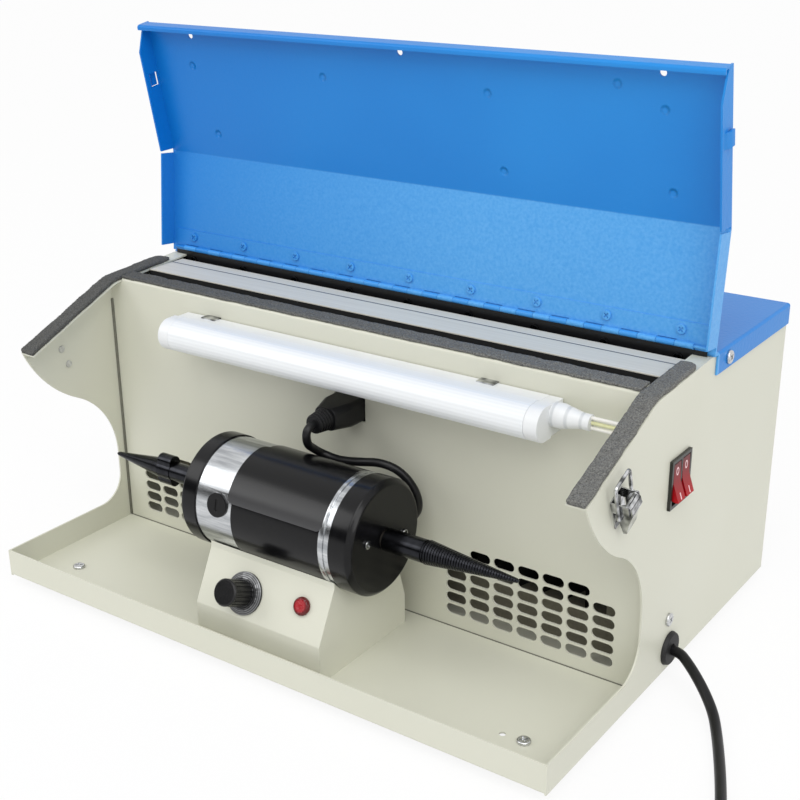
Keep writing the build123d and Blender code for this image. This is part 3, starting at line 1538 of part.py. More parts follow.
control_reach = knob_gap + pedestal_wall + control_shaft_length - fit_gap
knob += extrude(skirt_plane * Circle(control_shaft_radius), amount=-control_reach)
save("speed_knob", knob)
pilot = extrude(pilot_plane * Circle(pilot_radius), amount=pilot_rise)
pilot_crown = pilot.faces().sort_by(Axis(pilot_seat, slope_out))[-1]
pilot = fillet(pilot_crown.edges(), pilot_dome_radius)
pilot += extrude(pilot_plane * Circle(pilot_radius - pilot_rim), amount=-pilot_body_depth)
save("pilot_lamp", pilot)

# Motor cord: from the plug's relief, round behind the motor, to the pedestal gland
relief_back = inner_back - plug_length - plug_relief_length
gland_tip = gland_plane.origin + gland_out * gland_length
gland_run_end = gland_tip + gland_out * motor_cord_run_in
motor_cord_points = [
    place(plug_side, relief_back, plug_height),
    place(plug_side, relief_back - motor_cord_run_out, plug_height),
    *[place(*point) for point in motor_cord_route],
    gland_run_end,
    gland_tip,
]
save("motor_cord", cord_tube(motor_cord_points, motor_cord_radius, "motor_cord"))

# Mains cord: grommet with a tapered relief, free stretch on the floor, coil, tie and plug
grommet_profile = [
    (-sheet - grommet_inside, mains_radius),
    (-sheet - grommet_inside, grommet_radius),
    (0, grommet_radius),
    (0, grommet_flange_radius),
    (grommet_flange, grommet_flange_radius - spindle_edge),
    (grommet_flange, mains_radius),
]
grommet_seat = place(half_width, grommet_back, grommet_height)
grommet_turn_plane = Plane(origin=grommet_seat, x_dir=(1, 0, 0), z_dir=(0, -1, 0))
save("cord_grommet", turned(grommet_turn_plane, grommet_profile))
floor_level = -foot_height + mains_radius
coil_level = floor_level + tie_thickness + tie_gap
coil_step = 2 * mains_radius + coil_gap
mains_route = [
    (half_width - sheet - grommet_inside, grommet_back, grommet_height),
    (half_width + grommet_flange + mains_lead_out, grommet_back, grommet_height),
    *mains_fall_route,
    *[(x, back, floor_level) for x, back in mains_floor_route],
]
coil_along = Vector(*coil_direction, 0).normalized()
coil_across = Vector(-coil_along.Y, coil_along.X, 0)
coil_start = place(*coil_entry, coil_level)
mains_points = [place(*point) for point in mains_route]
mains_points += [coil_start - coil_along * coil_lead_in, coil_start]
save("mains_cord", cord_tube(mains_points, mains_radius, "mains_cord"))

# Coil: half turns that close in on the floor, one climbing half turn, half turns that open out on top
layer_lift = Vector(0, 0, coil_step)
inward_radii = [coil_radius - n * coil_step / 2 for n in range(coil_half_turns)]
climb_radius = coil_radius - coil_half_turns * coil_step / 2
outward_radii = list(reversed(inward_radii))[:-1]
coil_edges = []
coil_place = coil_start
coil_tangent = coil_along
coil_way = 1


def half_turn(start, tangent, chord):
    """One half turn as two quarter arcs, from a start, its direction and the line across."""
    join = start + chord / 2 + tangent * (chord.length / 2)
    first = TangentArc(start, join, tangent=tangent)
    second = TangentArc(join, start + chord, tangent=chord)
    return [first, second]


for radius in inward_radii:
    chord = coil_across * (coil_way * 2 * radius)
    coil_edges += half_turn(coil_place, coil_tangent, chord)
    coil_place = coil_place + chord
    coil_tangent = -coil_tangent
    coil_way = -coil_way
chord = coil_across * (coil_way * 2 * climb_radius) + layer_lift
coil_edges += half_turn(coil_place, coil_tangent, chord)
coil_place = coil_place + chord
coil_tangent = -coil_tangent
coil_way = -coil_way
climb_end = coil_place
for radius in outward_radii:
    chord = coil_across * (coil_way * 2 * radius)
    coil_edges += half_turn(coil_place, coil_tangent, chord)
    coil_place = coil_place + chord
    coil_tangent = -coil_tangent
    coil_way = -coil_way
coil_end = coil_place + coil_tangent * coil_tail
coil_edges.append(Line(coil_place, coil_end))
coil_path = Wire(coil_edges)
coil_section = Plane(origin=coil_start, x_dir=coil_across, z_dir=coil_along)
coil = sweep(coil_section * RegularPolygon(mains_radius, coil_section_sides), path=coil_path)
save("mains_cord_coil", coil)
coil_samples = [coil_path @ (n / coil_sample_count) for n in range(coil_sample_count + 1)]
sample_step = coil_path.length / coil_sample_count
skip = int(pi * mains_radius * 2 / sample_step) + 1
coil_nearest = min(
    (a - b).length
    for n, a in enumerate(coil_samples)
    for b in coil_samples[n + skip:]
)
print("coil length", round(coil_path.length, 1), "gap to itself", round(coil_nearest - 2 * mains_radius, 2))

# Tie round the bundle on the far side of the coil, and the mains plug on the coil's tail
far_outer = 2 * coil_radius + mains_radius + tie_gap
far_inner = (climb_end - coil_start).dot(coil_across) - mains_radius - tie_gap
tie_middle = coil_start + coil_across * ((far_outer + far_inner) / 2) + layer_lift / 2
tie_plane = Plane(origin=tie_middle, x_dir=coil_across, z_dir=coil_along)
tie_room_wide = far_outer - far_inner
tie_room_tall = 2 * mains_radius + coil_step + 2 * tie_gap
tie_ring = Rectangle(tie_room_wide + 2 * tie_thickness, tie_room_tall + 2 * tie_thickness)
tie_ring -= Rectangle(tie_room_wide, tie_room_tall)
save("coil_tie", extrude(tie_plane * tie_ring, amount=tie_width / 2, both=True))
mains_plug_plane = Plane(origin=coil_end, x_dir=(0, 0, 1), z_dir=coil_along)
mains_plug_tall = 2 * coil_end.Z
mains_plug = extrude(mains_plug_plane * Circle(mains_radius + relief_wall), amount=mains_plug_relief)
mains_plug_back = mains_plug_plane.offset(mains_plug_relief)
mains_plug_face = RectangleRounded(mains_plug_tall, mains_plug_width, mains_plug_corner)
mains_plug += extrude(mains_plug_back * mains_plug_face, amount=mains_plug_length)
mains_plug_front = mains_plug_back.offset(mains_plug_length)
for side in (-1, 1):
    pin_place = Pos(0, side * plug_pin_spacing / 2)
    mains_plug += extrude(mains_plug_front * pin_place * Circle(plug_pin_radius), amount=plug_pin_length)
save("mains_plug", mains_plug)
print("front", round(front, 4), "slopes", round(upper_slope, 4), round(lower_slope, 4))
print("closed slope", round(closed_slope, 4), "closing turn", round(90 + hood_lean + closed_slope, 3))
print("hinge height", round(hinge_height, 4), "hood foot", round(hood_foot, 3))
print("knob reach", round(knob_reach, 3), "motor height", round(motor_height, 4))
print("knob seat", knob_seat, "slope out", slope_out)
print("latch up", latch_up, "origin", latch_plane.origin)
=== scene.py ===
import json
import math

import bpy
from mathutils import Matrix, Vector

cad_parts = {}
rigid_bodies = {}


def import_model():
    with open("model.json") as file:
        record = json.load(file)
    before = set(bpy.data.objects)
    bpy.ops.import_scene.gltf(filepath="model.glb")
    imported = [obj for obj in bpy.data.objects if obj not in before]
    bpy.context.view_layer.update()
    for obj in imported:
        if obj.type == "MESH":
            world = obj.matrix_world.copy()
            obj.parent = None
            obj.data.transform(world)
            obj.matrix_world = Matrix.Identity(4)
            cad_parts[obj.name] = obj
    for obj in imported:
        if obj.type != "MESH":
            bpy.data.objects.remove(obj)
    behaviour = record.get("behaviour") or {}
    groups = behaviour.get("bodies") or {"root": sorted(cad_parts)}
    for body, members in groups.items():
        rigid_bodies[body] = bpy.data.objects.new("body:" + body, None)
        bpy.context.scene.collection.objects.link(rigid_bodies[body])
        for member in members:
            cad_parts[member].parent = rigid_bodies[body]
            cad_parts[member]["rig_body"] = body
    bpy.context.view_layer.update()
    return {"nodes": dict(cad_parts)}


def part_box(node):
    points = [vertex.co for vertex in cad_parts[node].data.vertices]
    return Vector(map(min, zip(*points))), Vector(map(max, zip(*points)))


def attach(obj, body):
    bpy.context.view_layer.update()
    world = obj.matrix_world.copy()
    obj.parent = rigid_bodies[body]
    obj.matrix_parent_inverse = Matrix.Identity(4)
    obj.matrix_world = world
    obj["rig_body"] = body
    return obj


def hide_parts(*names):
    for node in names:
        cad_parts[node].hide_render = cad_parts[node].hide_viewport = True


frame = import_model()
scene = bpy.context.scene
bpy.ops.object.select_all(action="DESELECT")

# Camera
# A 60 mm lens a little under a metre away, above and to the right of the machine's front.
# Its place and turn were worked out from the cabinet's own straight edges.
camera_data = bpy.data.cameras.new("photo_camera")
camera_data.sensor_width = 36.0
camera_data.lens = 60.006
camera_data.shift_x = 0.0020
camera_data.shift_y = 0.0172
camera_data.clip_end = 100.0
camera = bpy.data.objects.new("photo_camera", camera_data)
scene.collection.objects.link(camera)
camera_right = Vector((0.81711279, 0.57641849, -0.00827132))
camera_up = Vector((-0.20937818, 0.31011503, 0.92735616))
camera_forward = Vector((-0.5371103, 0.75602274, -0.37408841))
camera_turn = Matrix((camera_right, camera_up, -camera_forward)).transposed()
camera_place = Vector((0.489206, -0.672195, 0.462696))
camera.matrix_world = Matrix.Translation(camera_place) @ camera_turn.to_4x4()
scene.camera = camera
scene.view_settings.view_transform = "Standard"

# Studio
# A plain pale sweep of floor under soft light from above and in front, as for a catalogue picture.
# The background is white to the eye and to polished metal, and dimmer as a lamp.
# Dark cloths outside the picture give bright metal and gloss something to mirror.


def tone(code):
    """An sRGB hex colour as linear red, green, blue and alpha."""
    parts = [int(code[n:n + 2], 16) / 255 for n in (1, 3, 5)]
    return [c / 12.92 if c <= 0.04045 else ((c + 0.055) / 1.055) ** 2.4 for c in parts] + [1.0]


def add_node(tree, kind, settings=None, values=None, links=None):
    """One node with its settings, its unlinked values and the sockets that feed it."""
    node = tree.nodes.new(kind)
    for name, setting in (settings or {}).items():
        setattr(node, name, setting)
    for socket, value in (values or {}).items():
        node.inputs[socket].default_value = value
    for socket, source in (links or {}).items():
        tree.links.new(source, node.inputs[socket])
    return node


def new_finish(name):
    """An empty material and its node tree, ready for a shader."""
    finish = bpy.data.materials.new(name)
    finish.use_nodes = True
    finish.node_tree.nodes.clear()
    return finish, finish.node_tree


def close_finish(tree, shader):
    """Send a shader to the material's surface."""
    add_node(tree, "ShaderNodeOutputMaterial", links={"Surface": shader.outputs[0]})


world = bpy.data.worlds.new("studio_world")
scene.world = world
world.use_nodes = True
world.node_tree.nodes.clear()
ray = add_node(world.node_tree, "ShaderNodeLightPath")
seen = add_node(world.node_tree, "ShaderNodeMath", {"operation": "MAXIMUM"}, links={
    0: ray.outputs["Is Camera Ray"],
    1: ray.outputs["Is Glossy Ray"],
})
seen_through = add_node(world.node_tree, "ShaderNodeMath", {"operation": "MAXIMUM"}, links={
    0: seen.outputs[0],
    1: ray.outputs["Is Transmission Ray"],
})
lamp_level = add_node(world.node_tree, "ShaderNodeBackground", values={
    "Color": tone("#FFFFFF"), "Strength": 0.55,
})
white_level = add_node(world.node_tree, "ShaderNodeBackground", values={
    "Color": tone("#FFFFFF"), "Strength": 1.0,
})
world_mix = add_node(world.node_tree, "ShaderNodeMixShader", links={
    0: seen_through.outputs[0],
    1: lamp_level.outputs[0],
    2: white_level.outputs[0],
})
add_node(world.node_tree, "ShaderNodeOutputWorld", links={"Surface": world_mix.outputs[0]})

bpy.ops.mesh.primitive_plane_add(size=24.0, location=(0, 0, 0))
floor = bpy.context.object
floor.name = "studio_floor"
floor_paper, tree = new_finish("white_paper_sweep")
ray = add_node(tree, "ShaderNodeLightPath")
paper = add_node(tree, "ShaderNodeBsdfDiffuse", values={"Color": tone("#F4F4F4")})
glow = add_node(tree, "ShaderNodeEmission", values={"Color": tone("#FFFFFF"), "Strength": 1.0})
seen = add_node(tree, "ShaderNodeMath", {"operation": "MAXIMUM"}, links={
    0: ray.outputs["Is Camera Ray"],
    1: ray.outputs["Is Glossy Ray"],
})
floor_glow = 0.88
share = add_node(tree, "ShaderNodeMath", {"operation": "MULTIPLY"}, {1: floor_glow}, {0: seen.outputs[0]})
close_finish(tree, add_node(tree, "ShaderNodeMixShader", links={
    0: share.outputs[0],
    1: paper.outputs[0],
    2: glow.outputs[0],
}))
floor.data.materials.append(floor_paper)

sun_data = bpy.data.lights.new("soft_top_light", "SUN")
sun_data.energy = 1.4
sun_data.angle = math.radians(50)
sun = bpy.data.objects.new("soft_top_light", sun_data)
sun.matrix_world = Vector((0.28, -0.50, 0.84)).to_track_quat("Z", "Y").to_matrix().to_4x4()
scene.collection.objects.link(sun)


def soft_box(name, place, aim, size, power):
    """A rectangular lamp that shines from one place to another."""
    lamp = bpy.data.lights.new(name, "AREA")
    lamp.shape = "RECTANGLE"
    lamp.size, lamp.size_y = size
    lamp.energy = power
    holder = bpy.data.objects.new(name, lamp)
    turn = (Vector(place) - Vector(aim)).to_track_quat("Z", "Y").to_matrix().to_4x4()
    holder.matrix_world = Matrix.Translation(place) @ turn
    scene.collection.objects.link(holder)


soft_box("left_box", (-0.9, -0.9, 0.9), (0, 0, 0.12), (0.7, 0.7), 3.5)
soft_box("right_box", (1.3, -0.5, 0.8), (0, 0, 0.12), (0.6, 0.9), 4.3)

flag_cloth, tree = new_finish("black_studio_cloth")
close_finish(tree, add_node(tree, "ShaderNodeBsdfDiffuse", values={"Color": tone("#161616")}))
for name, place, aim, size in (
    ("front_flag", (-1.25, -1.75, 0.55), (0, -0.1, 0.1), (2.2, 0.75)),
    ("right_flag", (1.9, 0.75, 0.30), (0.22, 0, 0.15), (1.2, 0.5)),
    ("latch_flag", (0.47, 0.20, 0.012), (0.47, 0.20, 1.0), (0.10, 0.22)),
):
    turn = (Vector(aim) - Vector(place)).to_track_quat("Z", "Y").to_matrix().to_4x4()
    bpy.ops.mesh.primitive_plane_add(size=1.0)
    flag = bpy.context.object
    flag.name = name
    flag.matrix_world = Matrix.Translation(place) @ turn @ Matrix.Diagonal((*size, 1, 1))
    flag.data.materials.append(flag_cloth)
    flag.visible_camera = False
    flag.visible_diffuse = False
    flag.visible_shadow = False
    flag.visible_transmission = False

# Mains cord
# A round black PVC lead, 6.5 mm thick, from the grommet in the right side down to the bench.
# What the picture doesn't show is wound in two layers, tied, and ends in a moulded plug.
# The extruded sheath is half gloss, with a faint drawn grain about a millimetre apart.
front_to_middle = 153.735
foot_height = 8.0


def metres(x, back, height):
    """A place given in millimetres from the tray's front face and underside."""
    return Vector((x / 1000, (back - front_to_middle) / 1000, (height + foot_height) / 1000))


def lay_cord(name, points, radius, finish):
    """A round cord on one smooth line through control points."""
    line = bpy.data.curves.new(name, "CURVE")
    line.dimensions = "3D"
    line.resolution_u = 10
    line.bevel_depth = radius
    line.bevel_resolution = 5
    line.use_fill_caps = True
    spline = line.splines.new("NURBS")
    spline.points.add(len(points) - 1)
    for spot, point in zip(spline.points, points):
        spot.co = (*point, 1.0)
    spline.order_u = 3
    spline.use_endpoint_u = True
    line.materials.append(finish)
    cord = bpy.data.objects.new(name, line)
    scene.collection.objects.link(cord)
    return cord


def mottled(name, dark, pale, scale, detail, shine, relief=None):
    """A finish of two tones that drift into each other, with a fine relief where it has one."""
    finish, tree = new_finish(name)
    spot = add_node(tree, "ShaderNodeTexCoord")
    drift = add_node(tree, "ShaderNodeTexNoise", values={"Scale": scale, "Detail": detail}, links={
        "Vector": spot.outputs["Object"],
    })
    shade = add_node(tree, "ShaderNodeMix", {"data_type": "RGBA"}, {6: tone(dark), 7: tone(pale)}, {
        0: drift.outputs[0],
    })
    feeds = {"Base Color": shade.outputs[2]}
    if relief:
        bump = add_node(tree, "ShaderNodeBump", values=relief, links={"Height": drift.outputs[0]})
        feeds["Normal"] = bump.outputs[0]
    close_finish(tree, add_node(tree, "ShaderNodeBsdfPrincipled", values=shine, links=feeds))
    return finish


sheath_pvc = mottled(
    "extruded_black_pvc", "#0E0E0F", "#18181A", scale=900.0, detail=3.0,
    shine={"Roughness": 0.34, "IOR": 1.33}, relief={"Strength": 0.10, "Distance": 0.0003},
)
mains_radius = 3.25
tie_thickness = 1.0
tie_gap = 0.6
mains_floor = -foot_height + mains_radius
coil_rise = mains_floor + tie_thickness + tie_gap
mains_points = [
    metres(208.8, 150.8, 14.3),
    metres(222.0, 150.8, 14.3),
    metres(231.0, 144.5, 12.6),
    metres(241.0, 137.2, 8.6),
    metres(250.0, 130.3, 3.4),
    metres(258.2, 122.2, -1.8),
    metres(265.6, 109.5, mains_floor),
    metres(272.9, 94.7, mains_floor),
    metres(280.5, 78.5, mains_floor),
    metres(287.6, 62.5, mains_floor),
    metres(295.5, 43.5, mains_floor),
]
coil_along = Vector((0.389, -0.921, 0)).normalized()
coil_across = Vector((-coil_along.y, coil_along.x, 0))
coil_start = metres(315.0, -2.0, coil_rise)
coil_lead_in = 0.024
coil_radius = 0.046
coil_step = 0.0071
coil_tail = 0.030
tail_end = 0.012
layer_turns = 6
points_each = 8
spread = 1 / math.cos(math.pi / (2 * points_each))
mains_points += [coil_start - coil_along * coil_lead_in, coil_start]
half_turns = [coil_radius - n * coil_step / 2 for n in range(layer_turns)]
half_turns += [coil_radius - layer_turns * coil_step / 2]
half_turns += half_turns[layer_turns - 1:0:-1]
turn_start = coil_start
turn_along = coil_along
way = 1
for n, radius in enumerate(half_turns):
    chord = coil_across * (2 * radius * way)
    if n == layer_turns:
        chord = chord + Vector((0, 0, coil_step))
    for k in range(points_each):
        angle = math.pi * (k + 0.5) / points_each
        middle = turn_start + chord / 2
        out = turn_along * (chord.length / 2 * math.sin(angle)) - chord / 2 * math.cos(angle)
        mains_points.append(middle + out * spread)
    turn_start = turn_start + chord
    turn_along = -turn_along
    way = -way
coil_end = turn_start + turn_along * coil_tail
mains_points += [turn_start, coil_end - turn_along * tail_end, coil_end]
mains = lay_cord("mains_lead", mains_points, mains_radius / 1000, sheath_pvc)
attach(mains, "cabinet")
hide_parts("mains_cord", "mains_cord_coil")

# Motor cord
# The motor's own lead, 5.5 mm thick, in the same half-gloss black sheath.
# It drops from the plug on the inner panel, passes behind the motor and ends in the pedestal.
motor_cord_radius = 2.75
motor_lead = lay_cord("motor_lead", [
    metres(0.4, 77.7, 137.507),
    metres(0.4, 70.7, 137.507),
    metres(-0.2, 71.4, 126.6),
    metres(-2.4, 80.5, 119.8),
    metres(-1.0, 88.2, 113.6),
    metres(11.0, 90.8, 111.0),
    metres(27.9, 91.5, 113.9),
    metres(39.2, 93.0, 116.0),
    metres(49.4, 96.0, 113.8),
    metres(57.2, 99.0, 107.2),
    metres(62.2, 102.0, 96.6),
    metres(61.4, 105.5, 85.6),
    metres(55.0, 108.4, 76.0),
    metres(46.5, 110.0, 67.5),
    metres(38.5, 109.6, 59.0),
    metres(33.0, 105.53, 50.16),
    metres(33.0, 98.83, 48.15),
], motor_cord_radius / 1000, sheath_pvc)
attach(motor_lead, "cabinet")
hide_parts("motor_cord")

# Lamp lead
# Three thin cores side by side, white, yellow-green and white, from the lamp's end connector.
# They run straight along the inner panel and turn into it. The PVC is smooth with a faint mottle.
core_colours = (("#E4E2DA", "#F0EEE8"), ("#D0D09C", "#DEDEB4"), ("#E4E2DA", "#F0EEE8"))
core_names = ("lamp_core_low", "lamp_core_earth", "lamp_core_high")
core_radius = 0.0011
core_pitch = 3.0
middle_core_height = 171.011
for core, (core_name, (dark, pale)) in enumerate(zip(core_names, core_colours)):
    core_pvc = mottled(
        core_name + "_pvc", dark, pale, scale=350.0, detail=2.0,
        shine={"Roughness": 0.4, "IOR": 1.5},
    )
    core_height = middle_core_height + (core - 1) * core_pitch
    core_lead = lay_cord(core_name, [
        metres(179.2, 104.0, core_height),
        metres(194.8, 104.0, core_height),
        metres(206.5, 104.0, core_height),
        metres(206.5, 115.7, core_height),
    ], core_radius, core_pvc)
    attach(core_lead, "cabinet")
    if core == 0:
        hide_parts("lamp_lead")

# Base tray
# One folded tray of 1.2 mm steel sheet with a raised front lip, spot welded to the sides.
# Warm light grey baked enamel: even and half gloss, with a ripple about 2.4 mm wide in its shine.
enamel, tree = new_finish("baked_grey_enamel")
spot = add_node(tree, "ShaderNodeTexCoord")
drift = add_node(tree, "ShaderNodeTexNoise", values={"Scale": 9.0, "Detail": 2.0}, links={
    "Vector": spot.outputs["Object"],
})
paint = add_node(tree, "ShaderNodeMix", {"data_type": "RGBA"}, {6: tone("#CFCFBF"), 7: tone("#D6D6C8")}, {
    0: drift.outputs[0],
})
ripple = add_node(tree, "ShaderNodeTexNoise", values={"Scale": 420.0, "Detail": 2.0}, links={
    "Vector": spot.outputs["Object"],
})
bump = add_node(tree, "ShaderNodeBump", values={"Strength": 0.05, "Distance": 0.0004}, links={
    "Height": ripple.outputs[0],
})
close_finish(tree, add_node(tree, "ShaderNodeBsdfPrincipled", values={
    "Roughness": 0.40, "IOR": 1.5,
}, links={"Base Color": paint.outputs[2], "Normal": bump.outputs[0]}))
join_gap = 0.000002
bevel_join_gap = 0.000004
flat_angle = math.radians(0.4)
sharp_angle = math.radians(38)


def pick(piece):
    """Select one piece alone and make it the active one."""
    bpy.ops.object.select_all(action="DESELECT")
    piece.select_set(True)
    bpy.context.view_layer.objects.active = piece


def copy_of(node, name):
    """A new piece with a CAD node's own mesh, its points joined up, left open in edit mode."""
    piece = bpy.data.objects.new(name, frame["nodes"][node].data.copy())
    piece.data.materials.clear()
    scene.collection.objects.link(piece)
    pick(piece)
    bpy.ops.mesh.customdata_custom_splitnormals_clear()
    bpy.ops.object.mode_set(mode="EDIT")
    bpy.ops.mesh.select_all(action="SELECT")
    bpy.ops.mesh.remove_doubles(threshold=join_gap)
    return piece


def eased(node, width, finish):
    """A CAD piece's own mesh with its sharp edges rounded as real ones are."""
    source = frame["nodes"][node]
    piece = copy_of(node, node + "_eased")
    bpy.ops.mesh.dissolve_limited(angle_limit=flat_angle)
    bpy.ops.object.mode_set(mode="OBJECT")
    round_off = piece.modifiers.new("round_off", "BEVEL")
    round_off.width = width / 1000
    round_off.segments = 2
    round_off.limit_method = "ANGLE"
    round_off.angle_limit = sharp_angle
    bpy.ops.object.modifier_apply(modifier="round_off")
    bpy.ops.object.mode_set(mode="EDIT")
    bpy.ops.mesh.select_all(action="SELECT")
    bpy.ops.mesh.remove_doubles(threshold=bevel_join_gap)
    bpy.ops.mesh.dissolve_degenerate(threshold=join_gap)
    bpy.ops.object.mode_set(mode="OBJECT")
    bpy.ops.object.shade_smooth_by_angle(angle=sharp_angle)
    level = piece.modifiers.new("level", "WEIGHTED_NORMAL")
    level.weight = 100
    level.keep_sharp = True
    bpy.ops.object.modifier_apply(modifier="level")
    piece.data.materials.append(finish)
    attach(piece, source["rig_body"])
    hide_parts(node)
    return piece


eased("base_tray", 0.5, enamel)

# Rubber feet and grommet
# Turned black rubber, pressed on screws under the tray, and a grommet snapped in the side.
# Moulded rubber: matt, slightly dusty, with a fine sandy grain about a millimetre apart.
foot_rubber = mottled(
    "moulded_black_rubber", "#101011", "#1D1D1E", scale=900.0, detail=4.0,
    shine={"Roughness": 0.62, "IOR": 1.45}, relief={"Strength": 0.2, "Distance": 0.0003},
)
eased("rubber_feet", 0.8, foot_rubber)
eased("cord_grommet", 0.6, foot_rubber)

# Side panels
# Two mirrored sheets with a hand opening, a rounded nose and a flange folded in for the foam.
# Laser cut and enamelled with the tray, so their cut edges carry a soft bright line of paint.
eased("left_side_panel", 0.4, enamel)
eased("right_side_panel", 0.4, enamel)

# Inner panel
# The suction wall: enamelled sheet with six rows of round-ended slots and a top flange.
# It stands on the tray between the sides. A thin grey bead along its seams is painted shade, standing in for
# the shade in the gap there.
eased("inner_panel", 0.3, enamel)
# Painted shade: the grey beads darken the seams as the gaps' shade would.
seam_shade_bead = mottled(
    "grey_painted_seam_shade", "#55554C", "#7C7C70", scale=250.0, detail=3.0, shine={"Roughness": 0.7},
)
for name, seam_from, seam_to, seam_width in (
    ("left_seam", metres(-213.4, 115.3, 1.6), metres(-213.4, 115.3, 174.0), 0.0011),
    ("floor_seam", metres(-213.0, 115.5, 1.4), metres(213.0, 115.5, 1.4), 0.0004),
):
    seam_line = seam_to - seam_from
    bpy.ops.object.select_all(action="DESELECT")
    bpy.ops.mesh.primitive_cylinder_add(vertices=12, radius=seam_width, depth=seam_line.length)
    seam = bpy.context.object
    seam.name = name
    seam.matrix_world = Matrix.Translation((seam_from + seam_to) / 2) @ (
        seam_line.to_track_quat("Z", "Y").to_matrix().to_4x4()
    )
    bpy.ops.object.transform_apply(location=True, rotation=True, scale=True)
    ends = seam.modifiers.new("ends", "BEVEL")
    ends.width = seam_width * 0.5
    ends.segments = 2
    ends.limit_method = "ANGLE"
    ends.angle_limit = math.radians(60)
    bpy.ops.object.modifier_apply(modifier="ends")
    bpy.ops.object.shade_smooth_by_angle(angle=math.radians(50))
    seam.data.materials.append(seam_shade_bead)
    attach(seam, "cabinet")

# Rear panel
# Enamelled sheet with outlet slots for the fan, closing the back of the machine.
# It is cut from flat sheet, without folds, and sprayed with the rest of the cabinet.
eased("rear_panel", 0.3, enamel)

# Cabinet screws
# Pan head steel screws, bright zinc in the tray and the sides.
# Under the hinge they are painted near black, as painted shade of the slot there.
# The passivated heads are smooth, with a dull cloud a few millimetres wide.
screw_steel, tree = new_finish("passivated_zinc_and_painted_slot_shade")
spot = add_node(tree, "ShaderNodeTexCoord")
place = add_node(tree, "ShaderNodeSeparateXYZ", links={0: spot.outputs["Object"]})
reach = add_node(tree, "ShaderNodeMath", {"operation": "ABSOLUTE"}, links={0: place.outputs[0]})
side_reach = 0.2125
tray_reach = 0.03
on_side = add_node(tree, "ShaderNodeMath", {"operation": "GREATER_THAN"}, {1: side_reach}, {
    0: reach.outputs[0],
})
in_tray = add_node(tree, "ShaderNodeMath", {"operation": "LESS_THAN"}, {1: tray_reach}, {
    0: place.outputs[2],
})
outside = add_node(tree, "ShaderNodeMath", {"operation": "MAXIMUM"}, links={
    0: on_side.outputs[0],
    1: in_tray.outputs[0],
})
cloud = add_node(tree, "ShaderNodeTexNoise", values={"Scale": 300.0, "Detail": 2.0}, links={
    "Vector": spot.outputs["Object"],
})
# Away from the sides and the tray, the heads are painted near black: painted shade of the slot under the
# hinge.
shade = add_node(tree, "ShaderNodeMix", {"data_type": "RGBA"}, {6: tone("#26272A"), 7: tone("#C9CACB")}, {
    0: outside.outputs[0],
})
dull = add_node(tree, "ShaderNodeMapRange", values={3: 0.20, 4: 0.36}, links={0: cloud.outputs[0]})
close_finish(tree, add_node(tree, "ShaderNodeBsdfPrincipled", values={"Metallic": 1.0}, links={
    "Base Color": shade.outputs[2],
    "Roughness": dull.outputs[0],
}))


def cut_crosses(piece, crowns, out, span, width, depth):
    """Sink a cross recess into the crown of each screw head of a piece."""
    bars = []
    turn = Vector(out).to_track_quat("Z", "Y").to_matrix().to_4x4()
    bpy.ops.object.select_all(action="DESELECT")
    for crown in crowns:
        for quarter in (0, 1):
            bpy.ops.mesh.primitive_cube_add(size=1.0)
            bar = bpy.context.object
            side = Matrix.Rotation(math.radians(45 + 90 * quarter), 4, "Z")
            size = Matrix.Diagonal((span / 1000, width / 1000, 2 * depth / 1000, 1))
            bar.matrix_world = Matrix.Translation(crown) @ turn @ side @ size
            bars.append(bar)
    bpy.ops.object.select_all(action="DESELECT")
    for bar in bars:
        bar.select_set(True)
    bpy.context.view_layer.objects.active = bars[0]
    bpy.ops.object.transform_apply(location=True, rotation=True, scale=True)
    bpy.ops.object.join()
    cutter = bpy.context.object
    pick(piece)
    sink = piece.modifiers.new("sink", "BOOLEAN")
    sink.operation = "DIFFERENCE"
    sink.object = cutter
    sink.use_self = True
    bpy.ops.object.modifier_apply(modifier="sink")
    bpy.data.objects.remove(cutter)


cabinet_screws = eased("cabinet_screws", 0.3, screw_steel)
leaf_screw_sides = [n * 48.6 for n in range(-4, 5)]
leaf_crowns = [metres(x, 181.2, 189.8) for x in leaf_screw_sides]
cut_crosses(cabinet_screws, leaf_crowns, (0, -1, 0), span=3.6, width=0.8, depth=0.8)
foot_crowns = [metres(x, 33.2, 3.2) for x in (-182, 182)]
cut_crosses(cabinet_screws, foot_crowns, (0, 0, 1), span=5.2, width=1.1, depth=1.0)
well_outside = 260.0
panel_reach = 0.2
for side in (-1, 1):
    crowns = []
    for back, height in ((147.5, 36.0), (205.8, 187.6)):
        bpy.context.view_layer.update()
        aim_from = metres(side * well_outside, back, height)
        found, crown = cabinet_screws.ray_cast(aim_from, Vector((-side, 0, 0)))[:2]
        if found and abs(crown.x) > panel_reach:
            crowns.append(crown)
    if crowns:
        cut_crosses(cabinet_screws, crowns, (side, 0, 0), span=4.2, width=0.9, depth=0.9)

# Hinge rail
# A folded steel strip across the cabinet, to which the piano hinge's fixed leaf is screwed.
# It is sprayed matt black, with a dusty bloom about 3 mm wide, and made near black as painted shade of the
# narrow slot in front of it.
rail_black_and_shade = mottled(
    "matt_black_and_painted_slot_shade", "#050506", "#0E0E0F", scale=330.0, detail=4.0,
    shine={"Roughness": 0.6, "IOR": 1.25},
)
eased("hinge_rail", 0.3, rail_black_and_shade)
